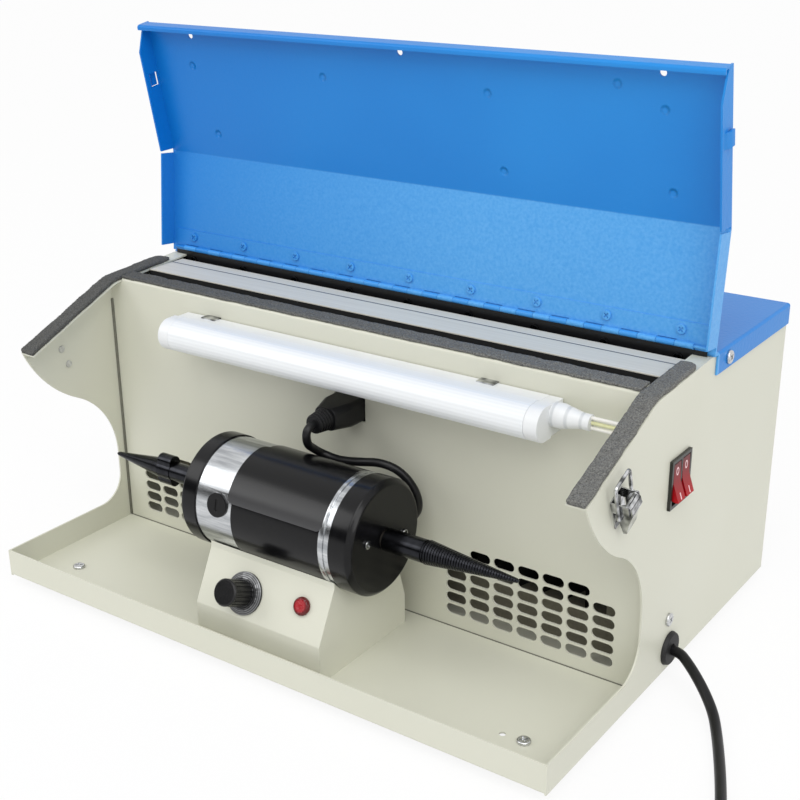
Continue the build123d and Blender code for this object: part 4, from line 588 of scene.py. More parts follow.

# Filter
# A lift-out cassette: a folded aluminium top bar on an olive card frame.
# Above a line the card is painted black, as painted shade inside the chamber; below it the olive is painted
# paler, as painted light against that shade.
# The pleated medium inside it is nearly black.
# Mill aluminium is grey and silky, rolled lengthwise, with a bent step along its rear third, marked by a
# thin line of painted shade.
filter_skin, tree = new_finish("mill_aluminium_over_olive_card_and_painted_shade")
spot = add_node(tree, "ShaderNodeTexCoord")
place = add_node(tree, "ShaderNodeSeparateXYZ", links={0: spot.outputs["Object"]})
bar_underside = 0.1984
painted_shade_height = 0.120
is_bar = add_node(tree, "ShaderNodeMath", {"operation": "GREATER_THAN"}, {1: bar_underside}, {
    0: place.outputs[2],
})
stretch = add_node(tree, "ShaderNodeMapping", values={"Scale": (12.0, 900.0, 900.0)}, links={
    0: spot.outputs["Object"],
})
rolled = add_node(tree, "ShaderNodeTexNoise", values={"Scale": 1.0, "Detail": 3.0}, links={
    "Vector": stretch.outputs[0],
})
silver = add_node(tree, "ShaderNodeMix", {"data_type": "RGBA"}, {6: tone("#C4C0B4"), 7: tone("#E2DED2")}, {
    0: rolled.outputs[0],
})
# Painted shade: a thin dark line along the step.
step_back = 0.0125
step_half_width = 0.0008
step_away = add_node(tree, "ShaderNodeMath", {"operation": "SUBTRACT"}, {1: step_back}, {
    0: place.outputs[1],
})
step_near = add_node(tree, "ShaderNodeMath", {"operation": "ABSOLUTE"}, links={0: step_away.outputs[0]})
step_shade_line = add_node(tree, "ShaderNodeMath", {"operation": "LESS_THAN"}, {1: step_half_width}, {
    0: step_near.outputs[0],
})
silver_and_step_shade = add_node(tree, "ShaderNodeMix", {"data_type": "RGBA"}, {7: tone("#6F7274")}, {
    0: step_shade_line.outputs[0],
    6: silver.outputs[2],
})
fibres = add_node(tree, "ShaderNodeTexNoise", values={"Scale": 500.0, "Detail": 4.0}, links={
    "Vector": spot.outputs["Object"],
})
# Painted light: the olive is painted paler than the card to lift it out of the chamber's shade.
olive = add_node(tree, "ShaderNodeMix", {"data_type": "RGBA"}, {6: tone("#756F60"), 7: tone("#8A8878")}, {
    0: fibres.outputs[0],
})
# Painted shade: above this height the card is painted black.
in_painted_shade = add_node(tree, "ShaderNodeMath", {"operation": "GREATER_THAN"}, {1: painted_shade_height}, {
    0: place.outputs[2],
})
card = add_node(tree, "ShaderNodeMix", {"data_type": "RGBA"}, {7: tone("#040404")}, {
    0: in_painted_shade.outputs[0],
    6: olive.outputs[2],
})
skin = add_node(tree, "ShaderNodeMix", {"data_type": "RGBA"}, links={
    0: is_bar.outputs[0],
    6: card.outputs[2],
    7: silver_and_step_shade.outputs[2],
})
shine = add_node(tree, "ShaderNodeMapRange", values={3: 0.8, 4: 0.62}, links={0: is_bar.outputs[0]})
bar_metal = 0.12
sheen = add_node(tree, "ShaderNodeMath", {"operation": "MULTIPLY"}, {1: bar_metal}, {0: is_bar.outputs[0]})
close_finish(tree, add_node(tree, "ShaderNodeBsdfPrincipled", links={
    "Base Color": skin.outputs[2],
    "Metallic": sheen.outputs[0],
    "Roughness": shine.outputs[0],
}))
eased("filter_frame", 0.4, filter_skin)

medium_paper = mottled(
    "dark_pleated_filter_paper", "#0C0C0B", "#232320", scale=700.0, detail=5.0,
    shine={"Roughness": 0.95, "IOR": 1.3},
)


def dress(finish, *names):
    """Give named CAD pieces a finish."""
    for name in names:
        piece = frame["nodes"][name]
        if not piece.material_slots:
            piece.data.materials.append(finish)
        for holder in piece.material_slots:
            holder.material = finish


dress(medium_paper, "filter_medium")

# Foam seals
# Strips of open grey foam, cut by hand and stuck along the side flanges and the inner panel.
# The skinless cut face is grainy, with pores about a millimetre wide, and it wanders at its edges.
# It is painted darker toward the left, as painted shade.
seal_foam, tree = new_finish("open_cell_grey_foam")
spot = add_node(tree, "ShaderNodeTexCoord")
pores = add_node(tree, "ShaderNodeTexVoronoi", values={"Scale": 850.0}, links={
    "Vector": spot.outputs["Object"],
})
specks = add_node(tree, "ShaderNodeTexNoise", values={
    "Scale": 1150.0, "Detail": 4.0, "Roughness": 0.7,
}, links={"Vector": spot.outputs["Object"]})
spread = add_node(tree, "ShaderNodeMapRange", values={1: 0.32, 2: 0.68}, links={0: specks.outputs[0]})
foam_tone = add_node(tree, "ShaderNodeMix", {"data_type": "RGBA"}, {6: tone("#444443"), 7: tone("#8B8B87")}, {
    0: spread.outputs[0],
})
place = add_node(tree, "ShaderNodeSeparateXYZ", links={0: spot.outputs["Object"]})
# Painted shade: the foam is darkened toward the left.
shade_full_left = -0.21
shade_none_right = 0.15
left_painted_shade = add_node(tree, "ShaderNodeMapRange", values={
    1: shade_full_left, 2: shade_none_right, 3: 0.45, 4: 0.0,
}, links={0: place.outputs[0]})
shade = add_node(tree, "ShaderNodeMix", {"data_type": "RGBA"}, {7: tone("#262626")}, {
    0: left_painted_shade.outputs[0],
    6: foam_tone.outputs[2],
})
bump = add_node(tree, "ShaderNodeBump", values={"Strength": 0.7, "Distance": 0.0008}, links={
    "Height": pores.outputs[0],
})
close_finish(tree, add_node(tree, "ShaderNodeBsdfPrincipled", values={
    "Roughness": 0.95, "IOR": 1.3,
}, links={"Base Color": shade.outputs[2], "Normal": bump.outputs[0]}))
wander = bpy.data.textures.new("foam_wander", "CLOUDS")
wander.noise_scale = 0.012
wander.noise_depth = 1
crumb = bpy.data.textures.new("foam_crumb", "CLOUDS")
crumb.noise_scale = 0.0022
crumb.noise_depth = 2
for name, node, cell in (
    ("left_foam", "foam_seal_left", 0.0009),
    ("right_foam", "foam_seal_right", 0.0009),
    ("inner_foam", "foam_seal_inner", 0.0008),
):
    foam = copy_of(node, name)
    bpy.ops.object.mode_set(mode="OBJECT")
    cells = foam.modifiers.new("cells", "REMESH")
    cells.mode = "VOXEL"
    cells.voxel_size = cell
    bpy.ops.object.modifier_apply(modifier="cells")
    soft = foam.modifiers.new("soft", "SMOOTH")
    soft.factor = 0.5
    soft.iterations = 3
    bpy.ops.object.modifier_apply(modifier="soft")
    for texture, strength in ((wander, 0.0011), (crumb, 0.0006)):
        uneven = foam.modifiers.new("uneven", "DISPLACE")
        uneven.texture = texture
        uneven.texture_coords = "LOCAL"
        uneven.strength = strength
        uneven.mid_level = 0.5
        bpy.ops.object.modifier_apply(modifier="uneven")
    bpy.ops.object.shade_smooth()
    foam.data.materials.append(seal_foam)
    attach(foam, "cabinet")
    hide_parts(node)

# Fan
# A bought axial fan of moulded black plastic, screwed inside the rear panel.
# Glass-filled nylon: satin, with a fine sandy tool texture about a millimetre apart.
# The motor's outlet and the tie round the mains cord are the same nylon.
fan_nylon = mottled(
    "moulded_black_nylon", "#121213", "#1F1F21", scale=1000.0, detail=3.0,
    shine={"Roughness": 0.42, "IOR": 1.45}, relief={"Strength": 0.15, "Distance": 0.0002},
)
dress(fan_nylon, "fan_frame", "fan_impeller", "motor_outlet", "coil_tie")

# Hood
# The folding lid: 1.2 mm sheet with a fold, side flanges, a returned front lip and catch tabs.
# Blue powder coat with orange peel about 2.6 mm wide. The lower leaf is painted a paler, blotchy blue, as
# painted light.
# The coat is painted paler toward the right, also as painted light, and spot welds show through it as
# shallow round dents.
blue_coat, tree = new_finish("blue_powder_coat")
spot = add_node(tree, "ShaderNodeTexCoord")
drift = add_node(tree, "ShaderNodeTexNoise", values={"Scale": 7.0, "Detail": 2.0}, links={
    "Vector": spot.outputs["Object"],
})
place = add_node(tree, "ShaderNodeSeparateXYZ", links={0: spot.outputs["Object"]})
light_ramp_left = -0.22
light_ramp_right = 0.05
# Painted light: the coat is painted paler toward the right, and the lower leaf's paler tone fades in toward
# the right.
right_painted_light = add_node(tree, "ShaderNodeMapRange", values={
    1: light_ramp_left, 2: light_ramp_right, 3: 0.15, 4: 1.0,
}, links={0: place.outputs[0]})
drift_and_painted_light = add_node(tree, "ShaderNodeMath", {"operation": "MULTIPLY"}, links={
    0: drift.outputs[0],
    1: right_painted_light.outputs[0],
})
coat_with_painted_light = add_node(tree, "ShaderNodeMix", {"data_type": "RGBA"}, {
    6: tone("#0473C8"), 7: tone("#2690DE"),
}, {0: drift_and_painted_light.outputs[0]})
lower_leaf_grain = add_node(tree, "ShaderNodeTexNoise", values={"Scale": 520.0, "Detail": 3.0}, links={
    "Vector": spot.outputs["Object"],
})
# Painted light: the lower leaf is painted a paler blue with a blotchy grain.
lower_leaf_painted_light = add_node(tree, "ShaderNodeMix", {"data_type": "RGBA"}, {6: tone("#3592DC"), 7: tone("#6AB1EA")}, {
    0: lower_leaf_grain.outputs[0],
})
fold_above = 0.2770
fold_below = 0.2760
hood_back = 0.0375
lower_leaf = add_node(tree, "ShaderNodeMapRange", values={1: fold_above, 2: fold_below}, links={
    0: place.outputs[2],
})
on_hood = add_node(tree, "ShaderNodeMath", {"operation": "LESS_THAN"}, {1: hood_back}, {0: place.outputs[1]})
hood_leaf = add_node(tree, "ShaderNodeMath", {"operation": "MULTIPLY"}, links={
    0: lower_leaf.outputs[0],
    1: on_hood.outputs[0],
})
lower_leaf_light_share = add_node(tree, "ShaderNodeMath", {"operation": "MULTIPLY"}, links={
    0: hood_leaf.outputs[0],
    1: right_painted_light.outputs[0],
})
paint = add_node(tree, "ShaderNodeMix", {"data_type": "RGBA"}, links={
    0: lower_leaf_light_share.outputs[0],
    6: coat_with_painted_light.outputs[2],
    7: lower_leaf_painted_light.outputs[2],
})
peel = add_node(tree, "ShaderNodeTexNoise", values={"Scale": 380.0, "Detail": 2.5}, links={
    "Vector": spot.outputs["Object"],
})
flat = add_node(tree, "ShaderNodeCombineXYZ", links={0: place.outputs[0], 2: place.outputs[2]})
weld_places = (
    (-179.8, 332.8), (-64.1, 333.3), (-167.4, 285.2), (61.8, 332.9),
    (69.2, 285.0), (148.7, 345.4), (177.5, 332.8), (181.8, 285.0),
)
weld_floor = 0.0012
weld_edge = 0.0034
welds = None
for x, height in weld_places:
    away = add_node(tree, "ShaderNodeVectorMath", {"operation": "DISTANCE"}, {
        1: (x / 1000, 0, (height + foot_height) / 1000),
    }, {0: flat.outputs[0]})
    dent = add_node(tree, "ShaderNodeMapRange", {"interpolation_type": "SMOOTHSTEP"}, {
        1: weld_floor, 2: weld_edge, 3: 1.0, 4: 0.0,
    }, {0: away.outputs["Value"]})
    if welds is not None:
        dent = add_node(tree, "ShaderNodeMath", {"operation": "MAXIMUM"}, links={
            0: welds.outputs[0],
            1: dent.outputs[0],
        })
    welds = dent
sunk = add_node(tree, "ShaderNodeBump", {"invert": True}, {"Strength": 1.0, "Distance": 0.0012}, {
    "Height": welds.outputs[0],
})
bump = add_node(tree, "ShaderNodeBump", values={"Strength": 0.24, "Distance": 0.0006}, links={
    "Height": peel.outputs[0],
    "Normal": sunk.outputs[0],
})
close_finish(tree, add_node(tree, "ShaderNodeBsdfPrincipled", values={
    "Roughness": 0.36, "IOR": 1.38,
}, links={"Base Color": paint.outputs[2], "Normal": bump.outputs[0]}))
eased("hood", 0.5, blue_coat)

# Rear top cover
# A shallow folded lid over the fan chamber, held by a screw at each side.
# The same steel sheet as the hood, powder coated with it.
eased("rear_top_cover", 0.6, blue_coat)

# Piano hinge
# Two rolled steel leaves on a steel pin. The knuckles and the hood's leaf took the blue coat.
# Below a line the fixed leaf is painted near black, as painted shade of the narrow slot under the hinge.
hinge_coat, tree = new_finish("blue_coat_over_painted_slot_shade")
spot = add_node(tree, "ShaderNodeTexCoord")
place = add_node(tree, "ShaderNodeSeparateXYZ", links={0: spot.outputs["Object"]})
peel = add_node(tree, "ShaderNodeTexNoise", values={"Scale": 380.0, "Detail": 2.5}, links={
    "Vector": spot.outputs["Object"],
})
bump = add_node(tree, "ShaderNodeBump", values={"Strength": 0.14, "Distance": 0.0006}, links={
    "Height": peel.outputs[0],
})
# Painted shade: below this height the leaf is painted near black.
slot_shade_line = 0.2043
blue_side = add_node(tree, "ShaderNodeMath", {"operation": "GREATER_THAN"}, {1: slot_shade_line}, {
    0: place.outputs[2],
})
paint = add_node(tree, "ShaderNodeMix", {"data_type": "RGBA"}, {6: tone("#101012"), 7: tone("#3D94DE")}, {
    0: blue_side.outputs[0],
})
close_finish(tree, add_node(tree, "ShaderNodeBsdfPrincipled", values={
    "Roughness": 0.38, "IOR": 1.45,
}, links={"Base Color": paint.outputs[2], "Normal": bump.outputs[0]}))
eased("fixed_hinge_leaf", 0.15, hinge_coat)
eased("hood_hinge_leaf", 0.15, blue_coat)
dress(blue_coat, "hinge_pin")
hood_screws = eased("hood_leaf_screws", 0.4, blue_coat)
hood_screw_crowns = [metres(x, 182.81, 206.96) for x in leaf_screw_sides]
hood_screw_out = (0, -0.9956, 0.0941)
cut_crosses(hood_screws, hood_screw_crowns, hood_screw_out, span=3.8, width=0.9, depth=0.8)

# Toggle latches
# Pressed steel lever, bail and base, riveted to each side and bright nickel plated.
# The plate is a mirror broken by stamping marks and dull patches about 7 mm wide.
nickel, tree = new_finish("bright_nickel_plate")
spot = add_node(tree, "ShaderNodeTexCoord")
scuff = add_node(tree, "ShaderNodeTexNoise", values={"Scale": 150.0, "Detail": 1.0}, links={
    "Vector": spot.outputs["Object"],
})
glint = add_node(tree, "ShaderNodeMapRange", values={1: 0.34, 2: 0.62}, links={0: scuff.outputs[0]})
shade = add_node(tree, "ShaderNodeMix", {"data_type": "RGBA"}, {6: tone("#5A5B5C"), 7: tone("#D2D3D4")}, {
    0: glint.outputs[0],
})
gloss = add_node(tree, "ShaderNodeMapRange", values={3: 0.06, 4: 0.22}, links={0: scuff.outputs[0]})
close_finish(tree, add_node(tree, "ShaderNodeBsdfPrincipled", values={"Metallic": 1.0}, links={
    "Base Color": shade.outputs[2],
    "Roughness": gloss.outputs[0],
}))
for node in ("latch_bases", "left_latch_bail", "right_latch_bail"):
    eased(node, 0.3, nickel)
eased("left_latch_lever", 0.9, nickel)
eased("right_latch_lever", 0.9, nickel)
rivet_aluminium = mottled(
    "bright_rivet_aluminium", "#8E8F8C", "#F0F0EE", scale=500.0, detail=2.0,
    shine={"Metallic": 0.5, "Roughness": 0.3},
)
eased("latch_rivets", 0.6, rivet_aluminium)

# Switch
# A snap-in double rocker: glossy black frame and two clear red rockers with printed O and I.
# Moulded nylon and acrylic, so the frame has a soft sheen and the rockers a deep wet gloss.
switch_nylon = mottled(
    "glossy_black_nylon", "#1B1B17", "#2A2A25", scale=260.0, detail=2.0,
    shine={"Roughness": 0.3, "IOR": 1.45},
)
eased("switch_frame", 0.5, switch_nylon)
rocker_red, tree = new_finish("deep_red_acrylic")
spot = add_node(tree, "ShaderNodeTexCoord")
place = add_node(tree, "ShaderNodeSeparateXYZ", links={0: spot.outputs["Object"]})
# Painted shade: the rockers are painted darker toward their tops.
rocker_foot = 0.124
rocker_head = 0.152
depth = add_node(tree, "ShaderNodeMapRange", values={1: rocker_foot, 2: rocker_head}, links={
    0: place.outputs[2],
})
shade = add_node(tree, "ShaderNodeMix", {"data_type": "RGBA"}, {6: tone("#B00A15"), 7: tone("#58060E")}, {
    0: depth.outputs[0],
})
close_finish(tree, add_node(tree, "ShaderNodeBsdfPrincipled", values={
    "Roughness": 0.12, "IOR": 1.27,
}, links={"Base Color": shade.outputs[2]}))
mark_ink = mottled(
    "white_pad_print", "#E8B9BE", "#F4DADC", scale=900.0, detail=2.0, shine={"Roughness": 0.4},
)
ring_shape = Matrix.Diagonal((0.85, 1.25, 0.35, 1))
bar_shape = Matrix.Diagonal((0.0009, 0.0042, 0.0003, 1))
in_front_of_switch = 0.3
for node in ("front_rocker", "rear_rocker"):
    low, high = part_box(node)
    middle = (low.y + high.y) / 2
    rocker = eased(node, 0.35, rocker_red)
    bpy.context.view_layer.update()
    for mark_name, height in (("off_mark", 0.1456), ("on_mark", 0.1306)):
        aim_from = Vector((in_front_of_switch, middle, height))
        spot_at, outward = rocker.ray_cast(aim_from, Vector((-1, 0, 0)))[1:3]
        seat = Matrix.Translation(spot_at) @ outward.to_track_quat("Z", "Y").to_matrix().to_4x4()
        bpy.ops.object.select_all(action="DESELECT")
        if mark_name == "off_mark":
            bpy.ops.mesh.primitive_torus_add(
                major_segments=28, minor_segments=8, major_radius=0.0017, minor_radius=0.0004,
            )
            size = ring_shape
        else:
            bpy.ops.mesh.primitive_cube_add(size=1.0)
            size = bar_shape
        mark = bpy.context.object
        mark.name = node + "_" + mark_name
        mark.matrix_world = seat @ size
        bpy.ops.object.transform_apply(location=True, rotation=True, scale=True)
        soften = mark.modifiers.new("soften", "BEVEL")
        soften.width = 0.00008
        soften.segments = 2
        bpy.ops.object.modifier_apply(modifier="soften")
        mark.data.materials.append(mark_ink)
        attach(mark, node)

# Mains plug
# A moulded two-pin plug on the lead's end, put away with the coil.
# Body and pins are drawn alike, in the same half-gloss black PVC as the sheath.
dress(sheath_pvc, "mains_plug")

# Lamp
# A batten lamp: white aluminium channel, ribbed opal diffuser and moulded end caps on two clips.
# Polycarbonate: bright white and softly glossy, with faint lengthwise ribs about 1.5 mm apart.
lamp_opal, tree = new_finish("ribbed_opal_polycarbonate")
spot = add_node(tree, "ShaderNodeTexCoord")
place = add_node(tree, "ShaderNodeSeparateXYZ", links={0: spot.outputs["Object"]})
lamp_low, lamp_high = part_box("lamp_diffuser")
lamp_axis = Vector((0, lamp_high.y, (lamp_low.z + lamp_high.z) / 2))
rise = add_node(tree, "ShaderNodeMath", {"operation": "SUBTRACT"}, {1: lamp_axis.z}, {0: place.outputs[2]})
run = add_node(tree, "ShaderNodeMath", {"operation": "SUBTRACT"}, {1: lamp_axis.y}, {0: place.outputs[1]})
bearing = add_node(tree, "ShaderNodeMath", {"operation": "ARCTAN2"}, links={
    0: rise.outputs[0],
    1: run.outputs[0],
})
rib_rate = 46.0
count = add_node(tree, "ShaderNodeMath", {"operation": "MULTIPLY"}, {1: rib_rate}, {0: bearing.outputs[0]})
rib = add_node(tree, "ShaderNodeMath", {"operation": "SINE"}, links={0: count.outputs[0]})
# Painted shade: the rib troughs are painted a touch darker.
rib_trough_shade = add_node(tree, "ShaderNodeMapRange", values={1: -1.0, 2: 1.0}, links={0: rib.outputs[0]})
body = add_node(tree, "ShaderNodeMix", {"data_type": "RGBA"}, {6: tone("#E3E6E8"), 7: tone("#E8EBED")}, {
    0: rib_trough_shade.outputs[0],
})
bump = add_node(tree, "ShaderNodeBump", values={"Strength": 0.12, "Distance": 0.0003}, links={
    "Height": rib.outputs[0],
})
close_finish(tree, add_node(tree, "ShaderNodeBsdfPrincipled", values={
    "Roughness": 0.3, "IOR": 1.55,
}, links={"Base Color": body.outputs[2], "Normal": bump.outputs[0]}))
lamp_white = mottled(
    "moulded_white_abs", "#DEE0E1", "#E8EAEB", scale=60.0, detail=2.0,
    shine={"Roughness": 0.35, "IOR": 1.53},
)
eased("lamp_diffuser", 0.3, lamp_opal)
eased("lamp_channel", 0.4, lamp_white)
eased("lamp_end_caps", 1.2, lamp_white)
connector_abs, tree = new_finish("ringed_white_abs")
spot = add_node(tree, "ShaderNodeTexCoord")
place = add_node(tree, "ShaderNodeSeparateXYZ", links={0: spot.outputs["Object"]})
groove_gap = 0.0086
pitch = add_node(tree, "ShaderNodeMath", {"operation": "MULTIPLY"}, {1: 2 * math.pi / groove_gap}, {
    0: place.outputs[0],
})
ring = add_node(tree, "ShaderNodeMath", {"operation": "SINE"}, links={0: pitch.outputs[0]})
# Painted shade: the grooves are painted darker.
groove = add_node(tree, "ShaderNodeMapRange", values={1: 0.6, 2: 0.95}, links={0: ring.outputs[0]})
body = add_node(tree, "ShaderNodeMix", {"data_type": "RGBA"}, {6: tone("#E2E4E5"), 7: tone("#CBCED0")}, {
    0: groove.outputs[0],
})
bump = add_node(tree, "ShaderNodeBump", {"invert": True}, {"Strength": 0.3, "Distance": 0.0005}, {
    "Height": groove.outputs[0],
})
close_finish(tree, add_node(tree, "ShaderNodeBsdfPrincipled", values={
    "Roughness": 0.35, "IOR": 1.53,
}, links={"Base Color": body.outputs[2], "Normal": bump.outputs[0]}))
eased("lamp_connector", 0.5, connector_abs)
dress(nickel, "lamp_clips")

# Motor plug
# A moulded appliance plug, pushed into the outlet on the inner panel, with a ringed strain relief.
# Soft black PVC with a half gloss; five rings stand round its neck.
eased("motor_plug", 0.9, sheath_pvc)
relief_back = 89.7
relief_length = 12.0
relief_radius = 7.0
relief_narrowing = 1.4
plug_side = 0.4
plug_height = 137.507
ring_count = 5
first_ring_back = 88.2
ring_gap = 2.3
for n in range(ring_count):
    ring_back = first_ring_back - n * ring_gap
    ring_radius = relief_radius - (relief_back - ring_back) * relief_narrowing / relief_length
    bpy.ops.object.select_all(action="DESELECT")
    bpy.ops.mesh.primitive_torus_add(
        major_segments=40, minor_segments=10, major_radius=ring_radius / 1000, minor_radius=0.0006,
        location=metres(plug_side, ring_back, plug_height), rotation=(math.pi / 2, 0, 0),
    )
    plug_ring = bpy.context.object
    bpy.ops.object.transform_apply(location=True, rotation=True, scale=True)
    bpy.ops.object.shade_smooth()
    plug_ring.data.materials.append(sheath_pvc)
    plug_ring.name = "plug_ring_%d" % n
    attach(plug_ring, "cabinet")

# Motor
# A double-ended brush motor: drawn aluminium tube in a black sleeve between two black end caps.
# The tube is polished and shows grey streaks along it; sleeve and caps are glossy black lacquer.
tube_aluminium, tree = new_finish("polished_aluminium_tube")
spot = add_node(tree, "ShaderNodeTexCoord")
stretch = add_node(tree, "ShaderNodeMapping", values={"Scale": (30.0, 260.0, 260.0)}, links={
    0: spot.outputs["Object"],
})
streak = add_node(tree, "ShaderNodeTexNoise", values={"Scale": 1.0, "Detail": 3.0}, links={
    "Vector": stretch.outputs[0],
})
spread = add_node(tree, "ShaderNodeMapRange", values={1: 0.35, 2: 0.65}, links={0: streak.outputs[0]})
shade = add_node(tree, "ShaderNodeMix", {"data_type": "RGBA"}, {6: tone("#A4A7AA"), 7: tone("#D2D4D6")}, {
    0: spread.outputs[0],
})
gloss = add_node(tree, "ShaderNodeMapRange", values={3: 0.16, 4: 0.30}, links={0: streak.outputs[0]})
close_finish(tree, add_node(tree, "ShaderNodeBsdfPrincipled", values={"Metallic": 1.0}, links={
    "Base Color": shade.outputs[2],
    "Roughness": gloss.outputs[0],
}))
eased("motor_tube", 0.3, tube_aluminium)
lacquer = mottled(
    "glossy_black_lacquer", "#080809", "#101012", scale=330.0, detail=2.0,
    shine={"Roughness": 0.2, "IOR": 1.33}, relief={"Strength": 0.05, "Distance": 0.0004},
)
eased("motor_sleeve", 0.3, lacquer)
label_film, tree = new_finish("two_tone_label_film")
spot = add_node(tree, "ShaderNodeTexCoord")
place = add_node(tree, "ShaderNodeSeparateXYZ", links={0: spot.outputs["Object"]})
sleeve_low, sleeve_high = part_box("motor_sleeve")
sleeve_axis = (sleeve_low + sleeve_high) / 2
sleeve_radius = (sleeve_high.z - sleeve_low.z) / 2
climb = add_node(tree, "ShaderNodeMath", {"operation": "SUBTRACT"}, {1: sleeve_axis.z}, {
    0: place.outputs[2],
})
grey_up_to = math.radians(18)
black_from = math.radians(47)
fade = add_node(tree, "ShaderNodeMapRange", values={
    1: sleeve_radius * math.sin(grey_up_to), 2: sleeve_radius * math.sin(black_from),
}, links={0: climb.outputs[0]})
shade = add_node(tree, "ShaderNodeMix", {"data_type": "RGBA"}, {6: tone("#4E4E4F"), 7: tone("#0A0A0B")}, {
    0: fade.outputs[0],
})
close_finish(tree, add_node(tree, "ShaderNodeBsdfPrincipled", values={
    "Roughness": 0.22, "IOR": 1.33,
}, links={"Base Color": shade.outputs[2]}))
bpy.ops.object.select_all(action="DESELECT")
label_lift = 0.00012
label_left = -0.0265
label_right = 0.0470
label_half_wrap = math.radians(38)
label_turn = math.radians(-57)
label_stock = 0.11
cutter_depth = 1.4 * sleeve_radius
label_chord = 2 * sleeve_radius * math.sin(label_half_wrap)
bpy.ops.mesh.primitive_cube_add(size=1.0)
label_cutter = bpy.context.object
label_cutter.matrix_world = (
    Matrix.Translation(((label_left + label_right) / 2, sleeve_axis.y, sleeve_axis.z))
    @ Matrix.Rotation(label_turn, 4, "X")
    @ Matrix.Translation((0, -sleeve_radius, 0))
    @ Matrix.Diagonal((label_right - label_left, cutter_depth, label_chord, 1))
)
bpy.ops.object.transform_apply(location=True, rotation=True, scale=True)
corners = label_cutter.modifiers.new("corners", "BEVEL")
corners.width = 0.004
corners.segments = 6
bpy.ops.object.modifier_apply(modifier="corners")
bpy.ops.object.select_all(action="DESELECT")
bpy.ops.mesh.primitive_cylinder_add(
    vertices=160, radius=sleeve_radius + label_lift, depth=label_stock,
    location=(0.0, sleeve_axis.y, sleeve_axis.z), rotation=(0, math.pi / 2, 0),
)
label = bpy.context.object
label.name = "motor_label"
bpy.ops.object.transform_apply(location=True, rotation=True, scale=True)
trim = label.modifiers.new("trim", "BOOLEAN")
trim.operation = "INTERSECT"
trim.object = label_cutter
bpy.ops.object.modifier_apply(modifier="trim")
bpy.data.objects.remove(label_cutter)
bpy.ops.object.shade_smooth_by_angle(angle=math.radians(30))
label.data.materials.clear()
label.data.materials.append(label_film)
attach(label, "cabinet")
band_width = 0.0036
band_side = 0.0474
bpy.ops.object.select_all(action="DESELECT")
bpy.ops.mesh.primitive_cylinder_add(
    vertices=160, radius=sleeve_radius + label_lift / 2, depth=band_width,
    location=(band_side, sleeve_axis.y, sleeve_axis.z), rotation=(0, math.pi / 2, 0),
)
band = bpy.context.object
band.name = "sleeve_end_band"
bpy.ops.object.transform_apply(location=True, rotation=True, scale=True)
round_edge = band.modifiers.new("round_edge", "BEVEL")
round_edge.width = 0.0002
round_edge.segments = 2
round_edge.limit_method = "ANGLE"
bpy.ops.object.modifier_apply(modifier="round_edge")
bpy.ops.object.shade_smooth_by_angle(angle=math.radians(30))
band.data.materials.append(tube_aluminium)
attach(band, "cabinet")
eased("left_end_cap", 0.6, lacquer)
eased("right_end_cap", 0.8, lacquer)
cap_screws = eased("end_cap_screws", 0.4, nickel)
motor_back = 58.7
motor_height = 86.0067
cap_screw_circle = 19.4
cap_screw_angle = math.radians(168)
cap_shift = cap_screw_circle * Vector((0, math.cos(cap_screw_angle), math.sin(cap_screw_angle)))
for face_x, out in ((70.4, 1), (-65.5, -1)):
    crowns = [
        metres(face_x, motor_back + way * cap_shift.y, motor_height + way * cap_shift.z) for way in (-1, 1)
    ]
    cut_crosses(cap_screws, crowns, (out, 0, 0), span=3.4, width=0.8, depth=0.8)
eased("brush_caps", 0.5, lacquer)
core_steel, tree = new_finish("varnished_core_steel")
spot = add_node(tree, "ShaderNodeTexCoord")
layers = add_node(tree, "ShaderNodeTexWave", {"bands_direction": "X"}, {
    "Scale": 300.0, "Distortion": 0.4,
}, {"Vector": spot.outputs["Object"]})
shade = add_node(tree, "ShaderNodeMix", {"data_type": "RGBA"}, {6: tone("#4F4B45"), 7: tone("#77716A")}, {
    0: layers.outputs[0],
})
close_finish(tree, add_node(tree, "ShaderNodeBsdfPrincipled", values={
    "Metallic": 0.8, "Roughness": 0.4,
}, links={"Base Color": shade.outputs[2]}))
dress(core_steel, "motor_stator", "motor_bearings", "armature")

# Taper spindles
# Turned steel tapers on both shaft ends, blued and oiled: nearly black with bright glints.
# The right one is cut with a fine thread, drawn 1.7 mm apart so that it shows.
spindle_steel, tree = new_finish("oiled_blued_steel")
spot = add_node(tree, "ShaderNodeTexCoord")
place = add_node(tree, "ShaderNodeSeparateXYZ", links={0: spot.outputs["Object"]})
thread_start = 0.0996
thread_gap = 0.0017
on_thread = add_node(tree, "ShaderNodeMath", {"operation": "GREATER_THAN"}, {1: thread_start}, {
    0: place.outputs[0],
})
pitch = add_node(tree, "ShaderNodeMath", {"operation": "MULTIPLY"}, {1: 2 * math.pi / thread_gap}, {
    0: place.outputs[0],
})
thread = add_node(tree, "ShaderNodeMath", {"operation": "SINE"}, links={0: pitch.outputs[0]})
cut = add_node(tree, "ShaderNodeMath", {"operation": "MULTIPLY"}, links={
    0: thread.outputs[0],
    1: on_thread.outputs[0],
})
bump = add_node(tree, "ShaderNodeBump", values={"Strength": 0.8, "Distance": 0.0004}, links={
    "Height": cut.outputs[0],
})
wear = add_node(tree, "ShaderNodeTexNoise", values={"Scale": 220.0, "Detail": 3.0}, links={
    "Vector": spot.outputs["Object"],
})
shade = add_node(tree, "ShaderNodeMix", {"data_type": "RGBA"}, {6: tone("#1C1D20"), 7: tone("#3B3C40")}, {
    0: wear.outputs[0],
})
close_finish(tree, add_node(tree, "ShaderNodeBsdfPrincipled", values={
    "Metallic": 1.0, "Roughness": 0.24,
}, links={"Base Color": shade.outputs[2], "Normal": bump.outputs[0]}))
eased("left_spindle", 0.4, spindle_steel)
eased("right_spindle", 0.4, spindle_steel)

# Motor pedestal
# A folded and spot-welded steel stand with a sloping control face, standing on the tray's floor.
# It carries the motor in a saddle and is enamelled with the cabinet.
eased("motor_pedestal", 0.6, enamel)

